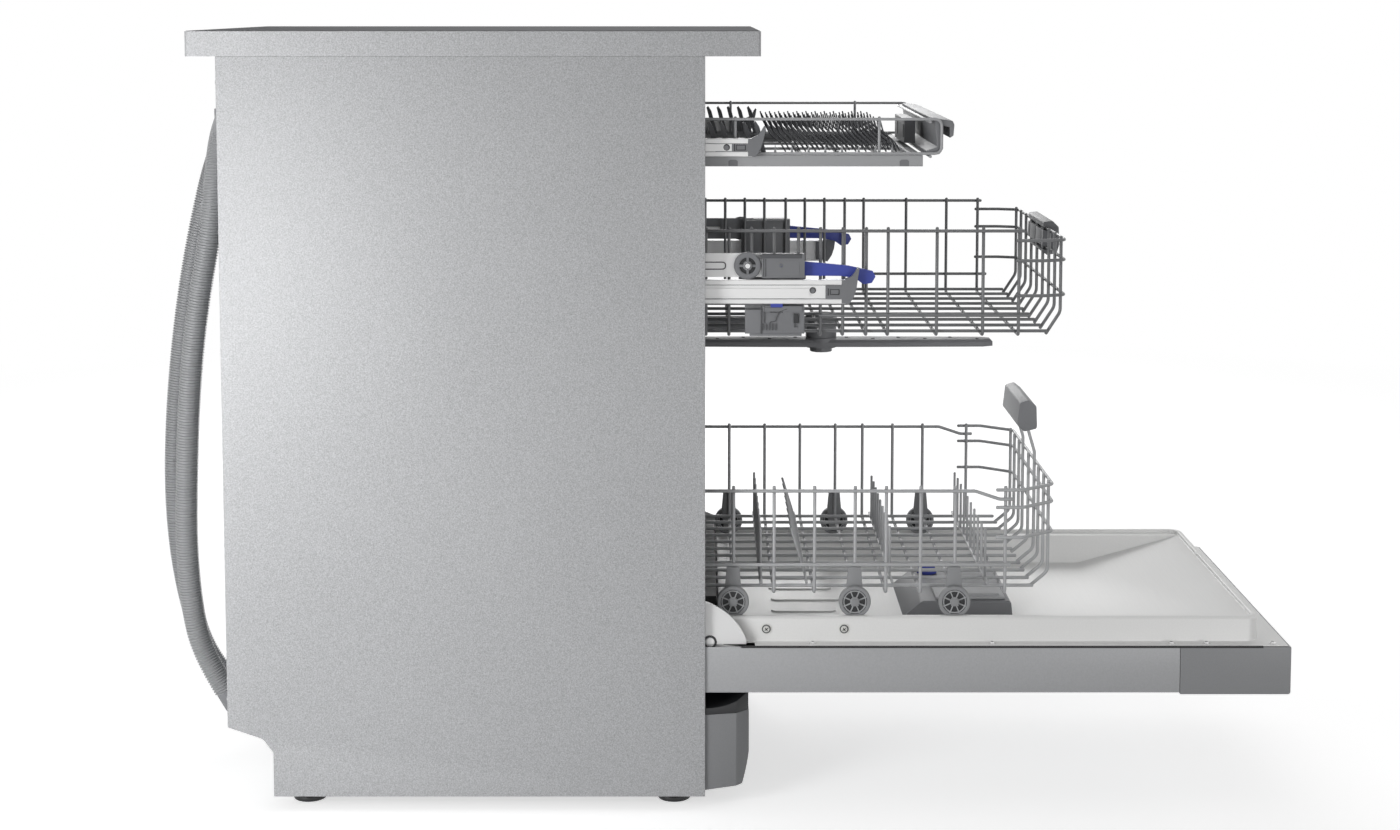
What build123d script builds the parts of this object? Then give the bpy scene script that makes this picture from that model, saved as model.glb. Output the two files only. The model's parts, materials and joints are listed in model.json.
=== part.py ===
from build123d import *
import math
import os

os.makedirs("parts", exist_ok=True)

# A 45 cm freestanding dishwasher with its door open flat and its three baskets drawn out.
# Millimetres, +Z up, front towards -Y, X = 0 on the middle plane, Z = 0 on the floor.
# The origin lies under the middle of the box that the machine fills, its hose left out.

# Cabinet
cabinet_width = 448.0
cabinet_depth = 518.0
cabinet_height = 845.0
worktop_thickness = 27.0
worktop_front_overhang = 59.0
worktop_rear_overhang = 32.5
worktop_edge_radius = 4.0
panel_sheet = 1.5
panel_return = 9.0
panel_foot_height = 14.0
back_sheet = 1.0
step_top_height = 91.0
step_corner_height = 78.0
step_foot_height = 63.0
step_corner_inset = 38.0
step_depth = 49.0
tray_wall = 3.0
tray_floor_low = 22.0
tray_floor_high = 25.0
tray_wall_top = 98.0
foot_x = 186.0
foot_stations = (-34.0, -436.0)
foot_radius = 18.0
foot_pad = 9.0
plinth_low = 21.4
plinth_top = 104.0
plinth_wall = 3.0
touch_gap = 0.3
slide_gap = 0.5
bearing_gap = 0.06
wire_sides = 5
spring_sides = 6
bar_sides = 12

# Door and its hinge
hinge_forward = 5.2
hinge_height = 183.2
hinge_pin_radius = 5.0
hinge_pin_end = -203.4
hinge_plate_outer = -215.0
hinge_plate_radius = 69.0
hinge_sheet = 3.0
hinge_arm_outer = -209.6
hinge_inner = 205.8
hinge_room = 30.0
door_inset = 3.0
door_sheet = 1.0
door_face_drop = 54.2
door_seam_drop = 3.7
door_tail = 44.0
panel_forward = 514.6
door_reach = 635.2
fascia_proud = 2.2
fascia_wall = 2.5
liner_sheet = 1.2
liner_half = 203.0
liner_rear = 15.0
liner_front = 605.4
liner_corner = 16.0
rim_height = 208.0
rim_width = 7.0
liner_floor = 171.0
pan_half = 174.0
pan_rear = 44.0
pan_front = 470.0
spring_radius = 5.5
handle_forward = (590.0, 622.0)
handle_half = 85.0
handle_depth = 27.0
button_stations = {
    "power_button": (-178.0, 11.0),
    "program_button": (-60.0, 15.0),
    "start_button": (178.0, 11.0),
}
button_forward = 562.0
button_half_height = 5.0
collar_width = 2.0
dispenser = (228.0, 354.0)
dispenser_half = 72.0
dispenser_top = 189.0
lid_x = (-66.0, -6.0)
lid_forward = (266.0, 346.0)
lid_thickness = 3.0
cup_margin = 8.0
rinse_x = 56.0
rinse_forward = 268.0
rinse_radius = 12.0
rinse_thickness = 4.0

# Tub
tub_half_width = 208.0
tub_sheet = 1.0
tub_top = 803.0
tub_back = 490.0
tub_mouth = 2.0
shelf_width = 27.0
basin_floor_height = 160.0
basin_front = 62.0
basin_taper = 9.0
tub_flange = 8.0
tub_rib = 12.0
ceiling_rib_half = 8.0
filter_x = 88.0
filter_forward = -335.0
filter_radius = 34.0
filter_wall = 2.5
salt_x = 105.0
salt_forward = -150.0
salt_radius = 24.0
tower_radius = 13.0
feed_pipe_radius = 5.5
duct_depth = 11.0
duct_half = 21.0
duct_run = 13.0
jaw_stations = (-34.0, -236.0)
jaw_half_length = 12.0
jaw_half_height = 9.0

# Lower basket
lower_wire = 1.9
lower_half_width = 184.0
lower_rear = -106.0
lower_front = 384.5
lower_rail_height = 342.8
lower_mid_height = 260.7
lower_floor_height = 229.0
lower_bay = 44.4
lower_floor_pitch = 33.0
wheel_radius = 17.5
wheel_width = 8.0
wheel_stations = (30.6, 163.8, 272.9)
wheel_sides = 20
wheel_windows = 5
axle_radius = 2.6
lower_return_front = 347.0
lower_nose_half = 154.0
lower_front_heights = (344.0, 324.6, 291.3)
lower_floor_front = 362.0
grip_post_x = 45.0
lower_grip_half = 62.0
tine_wire = 1.5
tine_height = 55.0
tine_rod_lift = 7.7
rear_tine_forward = 112.0
front_tine_forward = 206.8
rear_tine_lean = math.radians(17)
fixed_tine_stations = (61.8, 311.5)

# Upper basket
upper_wire = 1.8
upper_half_width = 184.8
upper_rear = -85.0
upper_front = 391.0
upper_rail_height = 628.6
upper_mid_height = 536.6
upper_floor_height = 514.7
upper_floor_pitch = 44.0
upper_return_front = 366.0
upper_nose_half = 176.0
upper_front_heights = (618.0, 596.2, 558.0)
upper_floor_front = 372.0
upper_grip_half = 58.0
roller_radius = 14.7
roller_width = 6.0
roller_forward = 45.7
roller_inner = 195.0
roller_axle = 2.6
lever_forward = 103.0
lever_height = 589.0
lever_pin_radius = 2.5
lever_width = 3.6
carriage_rear = 43.0
carriage_low = 518.0
carriage_top = 602.0
carriage_sheet = 2.0

# Slide rails of the upper basket and the cutlery tray
rail_outer = 203.0
rail_depth = 8.0
rail_web = 1.6
rail_rib = 1.8
upper_rail_top = 577.5
upper_rail_drop = 26.0
upper_rail_front = 152.0
upper_rail_length = 426.0
tray_rail_top = 729.8
tray_rail_drop = 19.4
tray_rail_front = 51.0
tray_rail_length = 330.0
fin_length = 14.0

# Cutlery tray
tray_wire_radius = 1.6
tray_half_width = 192.0
tray_rear = -200.0
tray_front = 254.0
tray_rail_height = 750.0
tray_low_height = 713.0
tray_base_top = 711.2
tray_base_drop = 12.0
tray_frame = 12.0
tray_rib_pitch = 44.0
tray_rib_width = 3.0
tray_cross_rib = 5.0
tray_long_rib = 8.0
tray_post_stations = (-122.0, 32.5, 187.2)
tray_shoe_stations = (-140.0, -50.0)
tray_shoe_length = 36.0
comb_pitch = 18.0
comb_tooth = 3.0
comb_height = 12.0
comb_half_width = 0.9

# Spray arms
arm_thickness = 12.0
arm_waist = 17.0
lower_arm_half_length = 178.0
upper_arm_half_length = 200.0
ceiling_arm_half_length = 120.0
lower_arm_bottom = 208.0
upper_arm_bottom = 473.5
upper_arm_forward = 136.0
ceiling_arm_bottom = 770.0
arm_axis_forward = -255.0
spigot_radius = 9.0

# Water and mains connections
outlet_x = -172.0
outlet_height = 104.0
outlet_radius = 11.0
gland_x = 168.0
gland_height = 112.0
gland_radius = 8.0
inlet_x = 150.0
inlet_height = 42.0
inlet_radius = 13.2
inlet_neck_radius = 12.2
inlet_length = 17.0
inlet_stand_off = 1.0

# Drain hose
hose_radius = 12.2
hose_bore_radius = 9.5
hose_sides = 8
hose_ribs = 34
rib_height = 1.4
cuff_wall = 2.4
cuff_length = 22.0
stow_x = 22.0
stow_height = 45.0
elbow_corner = -523.5
elbow_end = (-530.6, 116.1)
spigot_depth = 14.0
crown_x = -75.0
crown_forward = -534.2
crown_height = 752.0
hook_half = 8.0
hook_floor = 12.6

UP = (0, 0, 1)
REARWARD = (0, 1, 0)
FORWARD = (0, -1, 0)
RIGHTWARD = (1, 0, 0)

half_width = cabinet_width / 2
panel_top = cabinet_height - worktop_thickness
inner_half = half_width - panel_sheet
door_half = half_width - door_inset
door_face = hinge_height - door_face_drop
door_seam = hinge_height - door_seam_drop
rear_reach = cabinet_depth + worktop_rear_overhang
front_y = (door_reach - rear_reach) / 2
basin_half = tub_half_width - shelf_width
shelf_height = lower_floor_height - 7.2 - wheel_radius - touch_gap
tub_shelf_low = shelf_height - tub_sheet
trough_top = door_face
feed_pipe_forward = -tub_back + 7
feed_height = upper_floor_height - 14
seal_top = lower_floor_height - lower_wire - 3
arm_bore = spigot_radius + bearing_gap
wheel_height = shelf_height + touch_gap + wheel_radius
wheel_inner = lower_half_width + 2.6
tine_axis_height = lower_floor_height + tine_rod_lift
plate_inner = upper_half_width + upper_wire + slide_gap
lever_inner = plate_inner + 2.4
roller_height = upper_rail_top + touch_gap + roller_radius
roller_outer = roller_inner + roller_width
lower_bays = [31.3 + lower_bay * step for step in range(-3, 4)] + [198.6, 236.4, 274.2, 329.2]
upper_bays = [
    -73.0, -48.4, -23.7, 1.0, 25.9, 50.3, 74.7, 101.2,
    125.1, 149.5, 174.8, 198.4, 251.4, 301.6, 340.5,
]


def at(forward):
    """Y of a plane that stands this far forward of the cabinet's front edge."""
    return front_y - forward


def block(x, forward, z):
    """A box between two X values, two forward distances and two heights."""
    size = (x[1] - x[0], forward[1] - forward[0], z[1] - z[0])
    low = (x[0], at(forward[1]), z[0])
    return Pos(*low) * Box(*size, align=(Align.MIN, Align.MIN, Align.MIN))


def across(points, x_low, x_high):
    """A side outline of (forward, height) points, extruded along X."""
    outline = Polyline(*[(at(f), z) for f, z in points], close=True)
    face = Plane.YZ.offset(x_low) * make_face(outline)
    return extrude(face, x_high - x_low)


def upright(points, z_low, z_high):
    """A plan outline of (x, forward) points, extruded upwards."""
    outline = Polyline(*[(x, at(f)) for x, f in points], close=True)
    return extrude(Plane.XY.offset(z_low) * make_face(outline), z_high - z_low)


def disc_x(forward, height, radius, x_low, x_high):
    """A cylinder along X."""
    base = Plane(origin=(x_low, at(forward), height), z_dir=(1, 0, 0))
    return base * Cylinder(radius, x_high - x_low, align=(Align.CENTER, Align.CENTER, Align.MIN))


def disc_y(x, height, radius, forward_low, forward_high):
    """A cylinder along Y, from its rear end forward."""
    base = Plane(origin=(x, at(forward_low), height), z_dir=(0, -1, 0))
    length = forward_high - forward_low
    return base * Cylinder(radius, length, align=(Align.CENTER, Align.CENTER, Align.MIN))


def disc_z(x, forward, radius, z_low, z_high):
    """A cylinder along Z."""
    base = Pos(x, at(forward), z_low)
    return base * Cylinder(radius, z_high - z_low, align=(Align.CENTER, Align.CENTER, Align.MIN))


def drum(place, way, radius, length, sides=16):
    """A many-sided drum for a hidden round body, from an (x, forward, height) point along a way."""
    base = Plane(origin=(place[0], at(place[1]), place[2]), z_dir=way, x_dir=(way[1], way[2], way[0]))
    return extrude(base * RegularPolygon(radius, sides), length)


def rod(start, end, radius):
    """A round bar between two (x, forward, height) points."""
    a = Vector(start[0], at(start[1]), start[2])
    b = Vector(end[0], at(end[1]), end[2])
    base = Plane(origin=a, z_dir=b - a)
    length = (b - a).length
    return base * Cylinder(radius, length, align=(Align.CENTER, Align.CENTER, Align.MIN))


def wire(start, end, radius, sides=wire_sides):
    """A straight basket wire, drawn with few sides because there are so many of them."""
    a = Vector(start[0], at(start[1]), start[2])
    b = Vector(end[0], at(end[1]), end[2])
    section = Plane(origin=a, z_dir=b - a) * RegularPolygon(radius, sides)
    return extrude(section, (b - a).length)


def bent(points, bend, radius):
    """A bent basket wire through (x, forward, height) points."""
    path = FilletPolyline(*[(x, at(f), z) for x, f, z in points], radius=bend)
    section = Plane(origin=path @ 0, z_dir=path % 0) * RegularPolygon(radius, wire_sides)
    return sweep(section, path=path)


def both(piece):
    """A piece and its mirror image on the other side of the machine."""
    return [piece, mirror(piece, about=Plane.YZ)]


def save(name, pieces):
    """Writes one named sub-part, as one solid or a group of separate solids."""
    group = pieces if isinstance(pieces, list) else [pieces]
    solids = [solid for piece in group for solid in piece.solids()]
    export_step(Compound(children=solids), f"parts/{name}.step")


# Cabinet casing


def make_worktop():
    slab = block(
        (-half_width, half_width),
        (-rear_reach, worktop_front_overhang),
        (panel_top, cabinet_height),
    )
    slab = fillet(slab.edges().filter_by(Axis.Z), worktop_edge_radius)
    return chamfer(slab.faces().sort_by(Axis.Z)[-1].edges(), worktop_edge_radius / 2)


def side_outline():
    return [
        (0, panel_foot_height),
        (0, panel_top),
        (-cabinet_depth, panel_top),
        (-cabinet_depth, step_top_height),
        (-cabinet_depth + step_corner_inset, step_corner_height),
        (-cabinet_depth + step_depth, step_foot_height),
        (-cabinet_depth + step_depth, panel_foot_height),
    ]


def make_side_panel():
    sheet = across(side_outline(), -half_width, -inner_half)
    corner = sheet.edges().filter_by(Axis.X).sort_by_distance(
        (-half_width, at(-cabinet_depth + step_corner_inset), step_corner_height)
    )[0]
    sheet = fillet(corner, 12)
    front_return = block(
        (-inner_half, -inner_half + panel_return),
        (-panel_sheet, 0),
        (shelf_height + hinge_room, panel_top),
    )
    return sheet + front_return


def make_back_panel():
    outer = [
        (-cabinet_depth, panel_top),
        (-cabinet_depth, step_top_height),
        (-cabinet_depth + step_corner_inset, step_corner_height),
        (-cabinet_depth + step_depth, step_foot_height),
        (-cabinet_depth + step_depth, panel_foot_height + 10),
    ]
    inner = [(f + back_sheet, z + (0.4 * back_sheet if z < panel_top else 0)) for f, z in outer]
    inner[-1] = (inner[-1][0], outer[-1][1])
    sheet = across(outer + inner[::-1], -inner_half + touch_gap, inner_half - touch_gap)
    for row in range(3):
        low = 250 + 170 * row
        groove = block(
            (-150, 150), (-cabinet_depth - 1, -cabinet_depth + back_sheet * 0.5), (low, low + 16)
        )
        sheet = sheet - groove
    for x, z, radius in (
        (outlet_x, outlet_height, outlet_radius),
        (gland_x, gland_height, gland_radius),
        (inlet_x, inlet_height, inlet_radius),
    ):
        sheet = sheet - disc_y(x, z, radius + touch_gap, -cabinet_depth - 5, -cabinet_depth + 80)
    return sheet


def make_base_tray():
    rear = -cabinet_depth + step_depth + back_sheet + touch_gap
    half = inner_half - touch_gap
    wall = tray_wall
    tray = block((-half, half), (rear, 0), (tray_floor_low, tray_wall_top))
    tray = tray - block(
        (-half + wall, half - wall), (rear + wall, -wall), (tray_floor_high, tray_wall_top)
    )
    rear_cut = block((-half, half), (rear, rear + 24), (step_foot_height - 4, tray_wall_top))
    tray = tray - rear_cut
    tray = tray - disc_y(inlet_x, inlet_height, inlet_radius + touch_gap, rear - 1, rear + wall + 1)
    for x in (-198, 198):
        for forward in (-420, -140):
            post = block(
                (x - 8, x + 8), (forward - 18, forward + 18), (tray_floor_high, tub_shelf_low)
            )
            tray = tray + post
    return tray


def plinth_plan(inset):
    side, nose, front = inner_half - 1.5 - inset, inner_half - 12 - inset, 48.0 - inset
    return upright(
        [(-side, 0), (-nose - 4, front - 14), (-nose + 10, front), (nose - 10, front),
         (nose + 4, front - 14), (side, 0)],
        0,
        200,
    )


def plinth_profile(inset, x_half):
    low, top = plinth_low - 1 + inset, plinth_top
    nose = Edge.make_three_point_arc(
        (0, at(40.5 - inset), low + 3), (0, at(48.8 - inset), low + 45), (0, at(47.6 - inset), top)
    )
    lines = [
        Edge.make_line((0, at(0), low), (0, at(40.5 - inset), low + 3)),
        nose,
        Edge.make_line((0, at(47.6 - inset), top), (0, at(0), top)),
        Edge.make_line((0, at(0), top), (0, at(0), low)),
    ]
    face = Pos(-x_half, 0, 0) * make_face(lines)
    return extrude(face, 2 * x_half, dir=(1, 0, 0))


def make_plinth():
    shell = plinth_profile(0, inner_half) & plinth_plan(0)
    core = plinth_profile(plinth_wall, inner_half) & plinth_plan(plinth_wall)
    hollow = core & block(
        (-inner_half, inner_half), (-1, 60), (plinth_low + plinth_wall, plinth_top - plinth_wall)
    )
    return shell - hollow


def make_plinth_trough():
    swing = math.hypot(door_face_drop, door_tail) + 2
    body = across(
        [(0, plinth_top), (47.4, plinth_top), (47.4, trough_top), (0, trough_top)],
        -inner_half,
        inner_half,
    )
    body = body & plinth_plan(0)
    return body - disc_x(hinge_forward, hinge_height, swing, -inner_half, inner_half)


def make_feet():
    feet = []
    stem_length = tray_floor_low - foot_pad
    for x in (-foot_x, foot_x):
        for forward in foot_stations:
            pad = drum((x, forward, 0), UP, foot_radius, foot_pad)
            stem = Pos(x, at(forward), foot_pad) * extrude(RegularPolygon(7, 6), stem_length)
            feet.append(pad + stem)
    return feet


# Tub and what is built into it


def make_tub_walls():
    outer = tub_half_width + tub_sheet
    wall = block((-outer, -tub_half_width), (-tub_back, -tub_mouth), (shelf_height, tub_top))
    wall = wall + block(
        (-outer - tub_flange, -outer),
        (-tub_mouth - tub_sheet, -tub_mouth),
        (shelf_height + hinge_room, tub_top),
    )
    for z in (300, 370, 440):
        wall = wall + block((-tub_half_width, -tub_half_width + 1.5), (-440, -60), (z, z + tub_rib))
    ceiling = block((-outer, outer), (-tub_back, -tub_mouth), (tub_top, tub_top + tub_sheet))
    lip = block((-outer, outer), (-tub_mouth - tub_sheet, -tub_mouth), (tub_top, panel_top))
    for x in (-120, 0, 120):
        ceiling = ceiling + block(
            (x - ceiling_rib_half, x + ceiling_rib_half), (-440, -60),
            (tub_top + tub_sheet, panel_top),
        )
    back = block(
        (-outer, outer),
        (-tub_back - tub_sheet, -tub_back),
        (basin_floor_height, tub_top + tub_sheet),
    )
    return [*both(wall), ceiling + lip, back]


def pan(inset, top, floor):
    """The tapered basin of the tub floor, grown or shrunk by inset."""
    half = basin_half + inset
    rear, front = -tub_back + 14 - inset, -basin_front + inset
    upper = Pos(0, at((rear + front) / 2), top) * Rectangle(2 * half, front - rear)
    lower_half = half - basin_taper
    lower = Pos(0, at((rear + front) / 2), floor) * Rectangle(
        2 * lower_half, front - rear - 2 * basin_taper
    )
    return loft([lower, upper])


def make_tub_floor():
    shelf = block(
        (-tub_half_width - tub_sheet, tub_half_width + tub_sheet),
        (-tub_back, -tub_mouth),
        (tub_shelf_low, shelf_height),
    )
    outer = pan(tub_sheet, tub_shelf_low, basin_floor_height - tub_sheet)
    inner = pan(0, shelf_height, basin_floor_height)
    floor = shelf + outer - inner
    lip = block(
        (-hinge_inner, hinge_inner), (-tub_mouth - tub_sheet, -tub_mouth),
        (door_seam + 6, tub_shelf_low),
    )
    floor = floor + lip
    below, above = basin_floor_height - 20, basin_floor_height + 5
    floor = floor - disc_z(filter_x, filter_forward, filter_radius + touch_gap, below, above)
    for x, forward, radius in ((salt_x, salt_forward, salt_radius), (0, arm_axis_forward, tower_radius)):
        floor = floor - drum((x, forward, below), UP, radius, above - below)
    return floor - drum((0, feed_pipe_forward, tub_shelf_low - 5), UP, feed_pipe_radius, 11, 8)


def make_tub_gasket():
    thick = tub_half_width - rail_outer - rail_rib - touch_gap
    side = block(
        (-tub_half_width, -tub_half_width + thick), (-14, -tub_mouth), (seal_top, tub_top)
    )
    top = block(
        (-tub_half_width + thick, tub_half_width - thick), (-14, -tub_mouth),
        (tub_top - thick, tub_top),
    )
    sill = across(
        [(-16, shelf_height), (8, shelf_height), (13, seal_top - 8), (12, seal_top),
         (-6, seal_top), (-16, shelf_height + 6)],
        -basin_half + 3,
        basin_half - 3,
    )
    return [*both(side), top, sill]


def make_sump():
    depth = basin_floor_height - tub_sheet - 88
    bowl = drum((filter_x, filter_forward, 88), UP, 52, depth)
    well = drum((filter_x, filter_forward, 92), UP, 46, depth)
    way = Vector(filter_x - 33, at(filter_forward + 30), 0) - Vector(0, at(arm_axis_forward), 0)
    tunnel = drum((0, arm_axis_forward, 112), (way.X, way.Y, 0), 16, way.length, 8)
    tower_length = lower_arm_bottom - touch_gap - 96
    tower = drum((0, arm_axis_forward, 96), UP, tower_radius - touch_gap, tower_length)
    arm_top = lower_arm_bottom + arm_thickness
    spigot = disc_z(0, arm_axis_forward, spigot_radius, lower_arm_bottom - 2, arm_top + 2)
    nut = drum((0, arm_axis_forward, arm_top + touch_gap), UP, spigot_radius + 3, 2.7, 12)
    pipe = feed_pipe_radius - touch_gap
    reach = arm_axis_forward - feed_pipe_forward
    branch = drum((0, arm_axis_forward, 112), REARWARD, pipe, reach, 8)
    riser = drum((0, feed_pipe_forward, 112 - pipe), UP, pipe, shelf_height - 112 + pipe, 8)
    return (bowl + tunnel) - well + tower + spigot + nut + branch + riser


def make_coarse_filter():
    rim_low = basin_floor_height + touch_gap
    rim = drum((filter_x, filter_forward, rim_low), UP, filter_radius + 8, 2)
    can = disc_z(filter_x, filter_forward, filter_radius, 100, rim_low + 1)
    inside = drum((filter_x, filter_forward, 103), UP, filter_radius - filter_wall, 70)
    grip = block(
        (filter_x - filter_radius + 1, filter_x + filter_radius - 1),
        (filter_forward - 2.5, filter_forward + 2.5),
        (158, 176),
    )
    return (rim + can) - inside + grip


def make_circulation_pump():
    motor = drum((-150, arm_axis_forward, 70), RIGHTWARD, 38, 102)
    volute = drum((-48, arm_axis_forward, 70), RIGHTWARD, 44, 30)
    riser = block((-40, -24), (arm_axis_forward - 8, arm_axis_forward + 8), (96, 120))
    link = block((-25, 0), (arm_axis_forward - 8, arm_axis_forward + 8), (104, 120))
    saddle = block((-130, -60), (arm_axis_forward - 20, arm_axis_forward + 20), (25, 40))
    link = link - disc_z(0, arm_axis_forward, tower_radius, 90, 130)
    return motor + volute + riser + link + saddle


def make_drain_pump():
    body = drum((filter_x, -430, 57), FORWARD, 26, 46)
    body = body + drum((filter_x, -384, 57), FORWARD, 30, 24)
    riser = block((filter_x - 9, filter_x + 9), (-381, -363), (60, 88))
    foot = block((filter_x - 20, filter_x + 20), (-425, -372), (25, 38))
    return body + riser + foot


def make_inlet_valve():
    rear = -cabinet_depth + step_depth
    body = block((inlet_x - 24, inlet_x + 24), (rear + 6, rear + 44), (tray_floor_high, 66))
    root = rear - inlet_stand_off
    tip = root - inlet_length
    thread = disc_y(inlet_x, inlet_height, inlet_radius, tip, root)
    neck = drum((inlet_x, root, inlet_height), FORWARD, inlet_neck_radius, inlet_stand_off + 6)
    bore = drum((inlet_x, tip - 1, inlet_height), FORWARD, 8, 40, 8)
    return body + thread + neck - bore


def make_softener_tank():
    tank = block((58, 176), (-235, -95), (25, 138))
    tank = chamfer(tank.edges().filter_by(Axis.Z), 12)
    neck = drum((salt_x, salt_forward, 138), UP, salt_radius - touch_gap, basin_floor_height - 138)
    return tank + neck - drum((salt_x, salt_forward, 60), UP, salt_radius - 4, 110)


def make_salt_cap():
    cap = drum((salt_x, salt_forward, basin_floor_height), UP, salt_radius + 6, 7)
    grip = block(
        (salt_x - 20, salt_x + 20), (salt_forward - 3.5, salt_forward + 3.5),
        (basin_floor_height + 7, basin_floor_height + 17),
    )
    plug = drum((salt_x, salt_forward, 140), UP, salt_radius - 4.5, basin_floor_height - 140)
    return cap + grip + plug


def make_feed_duct():
    rear = -tub_back
    deep = duct_depth
    riser = block((-duct_half, duct_half), (rear, rear + deep), (shelf_height, tub_top))
    riser = chamfer(riser.edges().filter_by(Axis.Z).sort_by(Axis.Y)[:2], 4)
    run_low = tub_top - duct_run
    run = block((-duct_half, duct_half), (rear + deep, arm_axis_forward + 22), (run_low, tub_top))
    port = drum((0, rear + deep, feed_height), FORWARD, 10, 5, 12)
    spigot = disc_z(0, arm_axis_forward, spigot_radius, ceiling_arm_bottom - 2, run_low)
    arm_top = ceiling_arm_bottom + arm_thickness + touch_gap
    shoulder = drum((0, arm_axis_forward, arm_top), UP, spigot_radius + 4, run_low - arm_top, 12)
    nut = drum((0, arm_axis_forward, ceiling_arm_bottom - 4), UP, spigot_radius + 3, 3.7, 12)
    return riser + run + port + spigot + shoulder + nut


def make_ballast():
    return block((-184, -60), (-455, -330), (25, 92))


def make_hinge_bracket():
    thick, outer = hinge_sheet, hinge_plate_outer
    sweep_disc = drum((outer, -20, hinge_height - 21.5), RIGHTWARD, hinge_plate_radius, thick, 60)
    window = block((outer, outer + thick), (-75, 60), (door_seam + 1.5, hinge_height + 60))
    plate = sweep_disc & window
    arm = block((outer, outer + thick), (-120, -40), (door_seam + 8, shelf_height + 14))
    pin = disc_x(hinge_forward, hinge_height, hinge_pin_radius, outer - 1.5, hinge_pin_end)
    return plate + arm + pin


def make_door_spring():
    flat = spring_radius * math.cos(math.pi / spring_sides)
    x = -(inner_half - touch_gap - tray_wall - touch_gap - flat)
    coil = wire((x, -60, 112), (x, -330, 60), spring_radius, spring_sides)
    eye = wire((x, -40, 116), (x, -60, 112), 2)
    tail = wire((x, -330, 60), (x, -350, 56), 2)
    return coil + eye + tail


def rail_jaw(top, drop, forward):
    """A block on the tub wall that the outer rib of a slide rail runs in."""
    mid = top - drop / 2
    wall, face = -tub_half_width, -rail_outer - touch_gap
    body = block(
        (wall, face), (forward - jaw_half_length, forward + jaw_half_length),
        (mid - jaw_half_height, mid + jaw_half_height),
    )
    slot = block(
        (-rail_outer - rail_rib - touch_gap, face),
        (forward - jaw_half_length - 1, forward + jaw_half_length + 1),
        (mid - 4.3, mid + 4.3),
    )
    return body - slot


def make_rail_supports():
    jaws = []
    for top, drop in ((upper_rail_top, upper_rail_drop), (tray_rail_top, tray_rail_drop)):
        for forward in jaw_stations:
            jaws += both(rail_jaw(top, drop, forward))
    return jaws


def spray_arm(x, forward, bottom, half_length, bore):
    """A flat two-armed sprayer that turns on a spigot."""
    hub_radius = bore + 9
    hub = drum((x, forward, bottom), UP, hub_radius, arm_thickness)
    corner = [(1.0, 0.3), (0.8, 0.94), (0.4, 1.0)]
    quarter = [(arm_waist * across_share, half_length * along) for across_share, along in corner]
    front_half = [(-a, b) for a, b in quarter] + quarter[::-1]
    outline = front_half + [(-a, -b) for a, b in front_half]
    plan = [(x + a, forward + b) for a, b in outline]
    blade = upright(plan, bottom + 2, bottom + arm_thickness - 2)
    blade = chamfer(blade.faces().sort_by(Axis.Z)[-1].edges(), 3)
    return blade + hub - disc_z(x, forward, bore, bottom - 1, bottom + arm_thickness + 1)


save("worktop", make_worktop())
save("side_panels", both(make_side_panel()))
save("back_panel", make_back_panel())
save("base_tray", make_base_tray())
save("plinth", make_plinth())
save("plinth_trough", make_plinth_trough())
save("levelling_feet", make_feet())
save("tub_walls", make_tub_walls())
save("tub_floor", make_tub_floor())
save("tub_gasket", make_tub_gasket())
save("sump", make_sump())
save("coarse_filter", make_coarse_filter())
save("circulation_pump", make_circulation_pump())
save("drain_pump", make_drain_pump())
save("inlet_valve", make_inlet_valve())
save("softener_tank", make_softener_tank())
save("salt_cap", make_salt_cap())
save("spray_feed_duct", make_feed_duct())
save("ballast_block", make_ballast())
save("hinge_brackets", both(make_hinge_bracket()))
save("door_springs", both(make_door_spring()))
save("rail_supports", make_rail_supports())
save("lower_spray_arm", spray_arm(
    0, arm_axis_forward, lower_arm_bottom, lower_arm_half_length, arm_bore))
save("ceiling_spray_arm", spray_arm(
    0, arm_axis_forward, ceiling_arm_bottom, ceiling_arm_half_length, arm_bore))
save("upper_spray_arm", spray_arm(
    0, upper_arm_forward, upper_arm_bottom, upper_arm_half_length, arm_bore))

# Door


def make_door_panel():
    low, tail = door_face, -(door_tail - hinge_forward)
    shell = block((-door_half, door_half), (tail, panel_forward), (low, door_seam))
    inner = block(
        (-door_half + door_sheet, door_half - door_sheet),
        (tail + door_sheet, panel_forward),
        (low + door_sheet, door_seam),
    )
    shell = shell - inner
    corners = shell.edges().filter_by(Axis.X).group_by(Axis.Z)[0].sort_by(Axis.Y)
    return fillet(corners[-1], door_sheet * 0.9)


def make_fascia():
    low = door_face - fascia_proud
    shell = block((-door_half, door_half), (panel_forward + touch_gap, door_reach), (low, door_seam))
    shell = fillet(shell.edges().filter_by(Axis.X).group_by(Axis.Z)[0].sort_by(Axis.Y)[0], 3)
    inner = block(
        (-door_half + fascia_wall, door_half - fascia_wall),
        (panel_forward + touch_gap + fascia_wall, door_reach - fascia_wall),
        (low + fascia_wall, door_seam),
    )
    shell = shell - inner
    pocket = block(
        (-handle_half - 2, handle_half + 2),
        (handle_forward[0] - 2, handle_forward[1] + 2),
        (low + 1, low + handle_depth + 3),
    )
    scoop = block((-handle_half, handle_half), handle_forward, (low - 1, low + handle_depth))
    shell = shell + pocket - scoop
    for x, half in button_stations.values():
        shell = shell - block(
            (x - half, x + half),
            (button_forward - button_half_height, button_forward + button_half_height),
            (low - 1, low + fascia_wall + 1),
        )
    return shell


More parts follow.
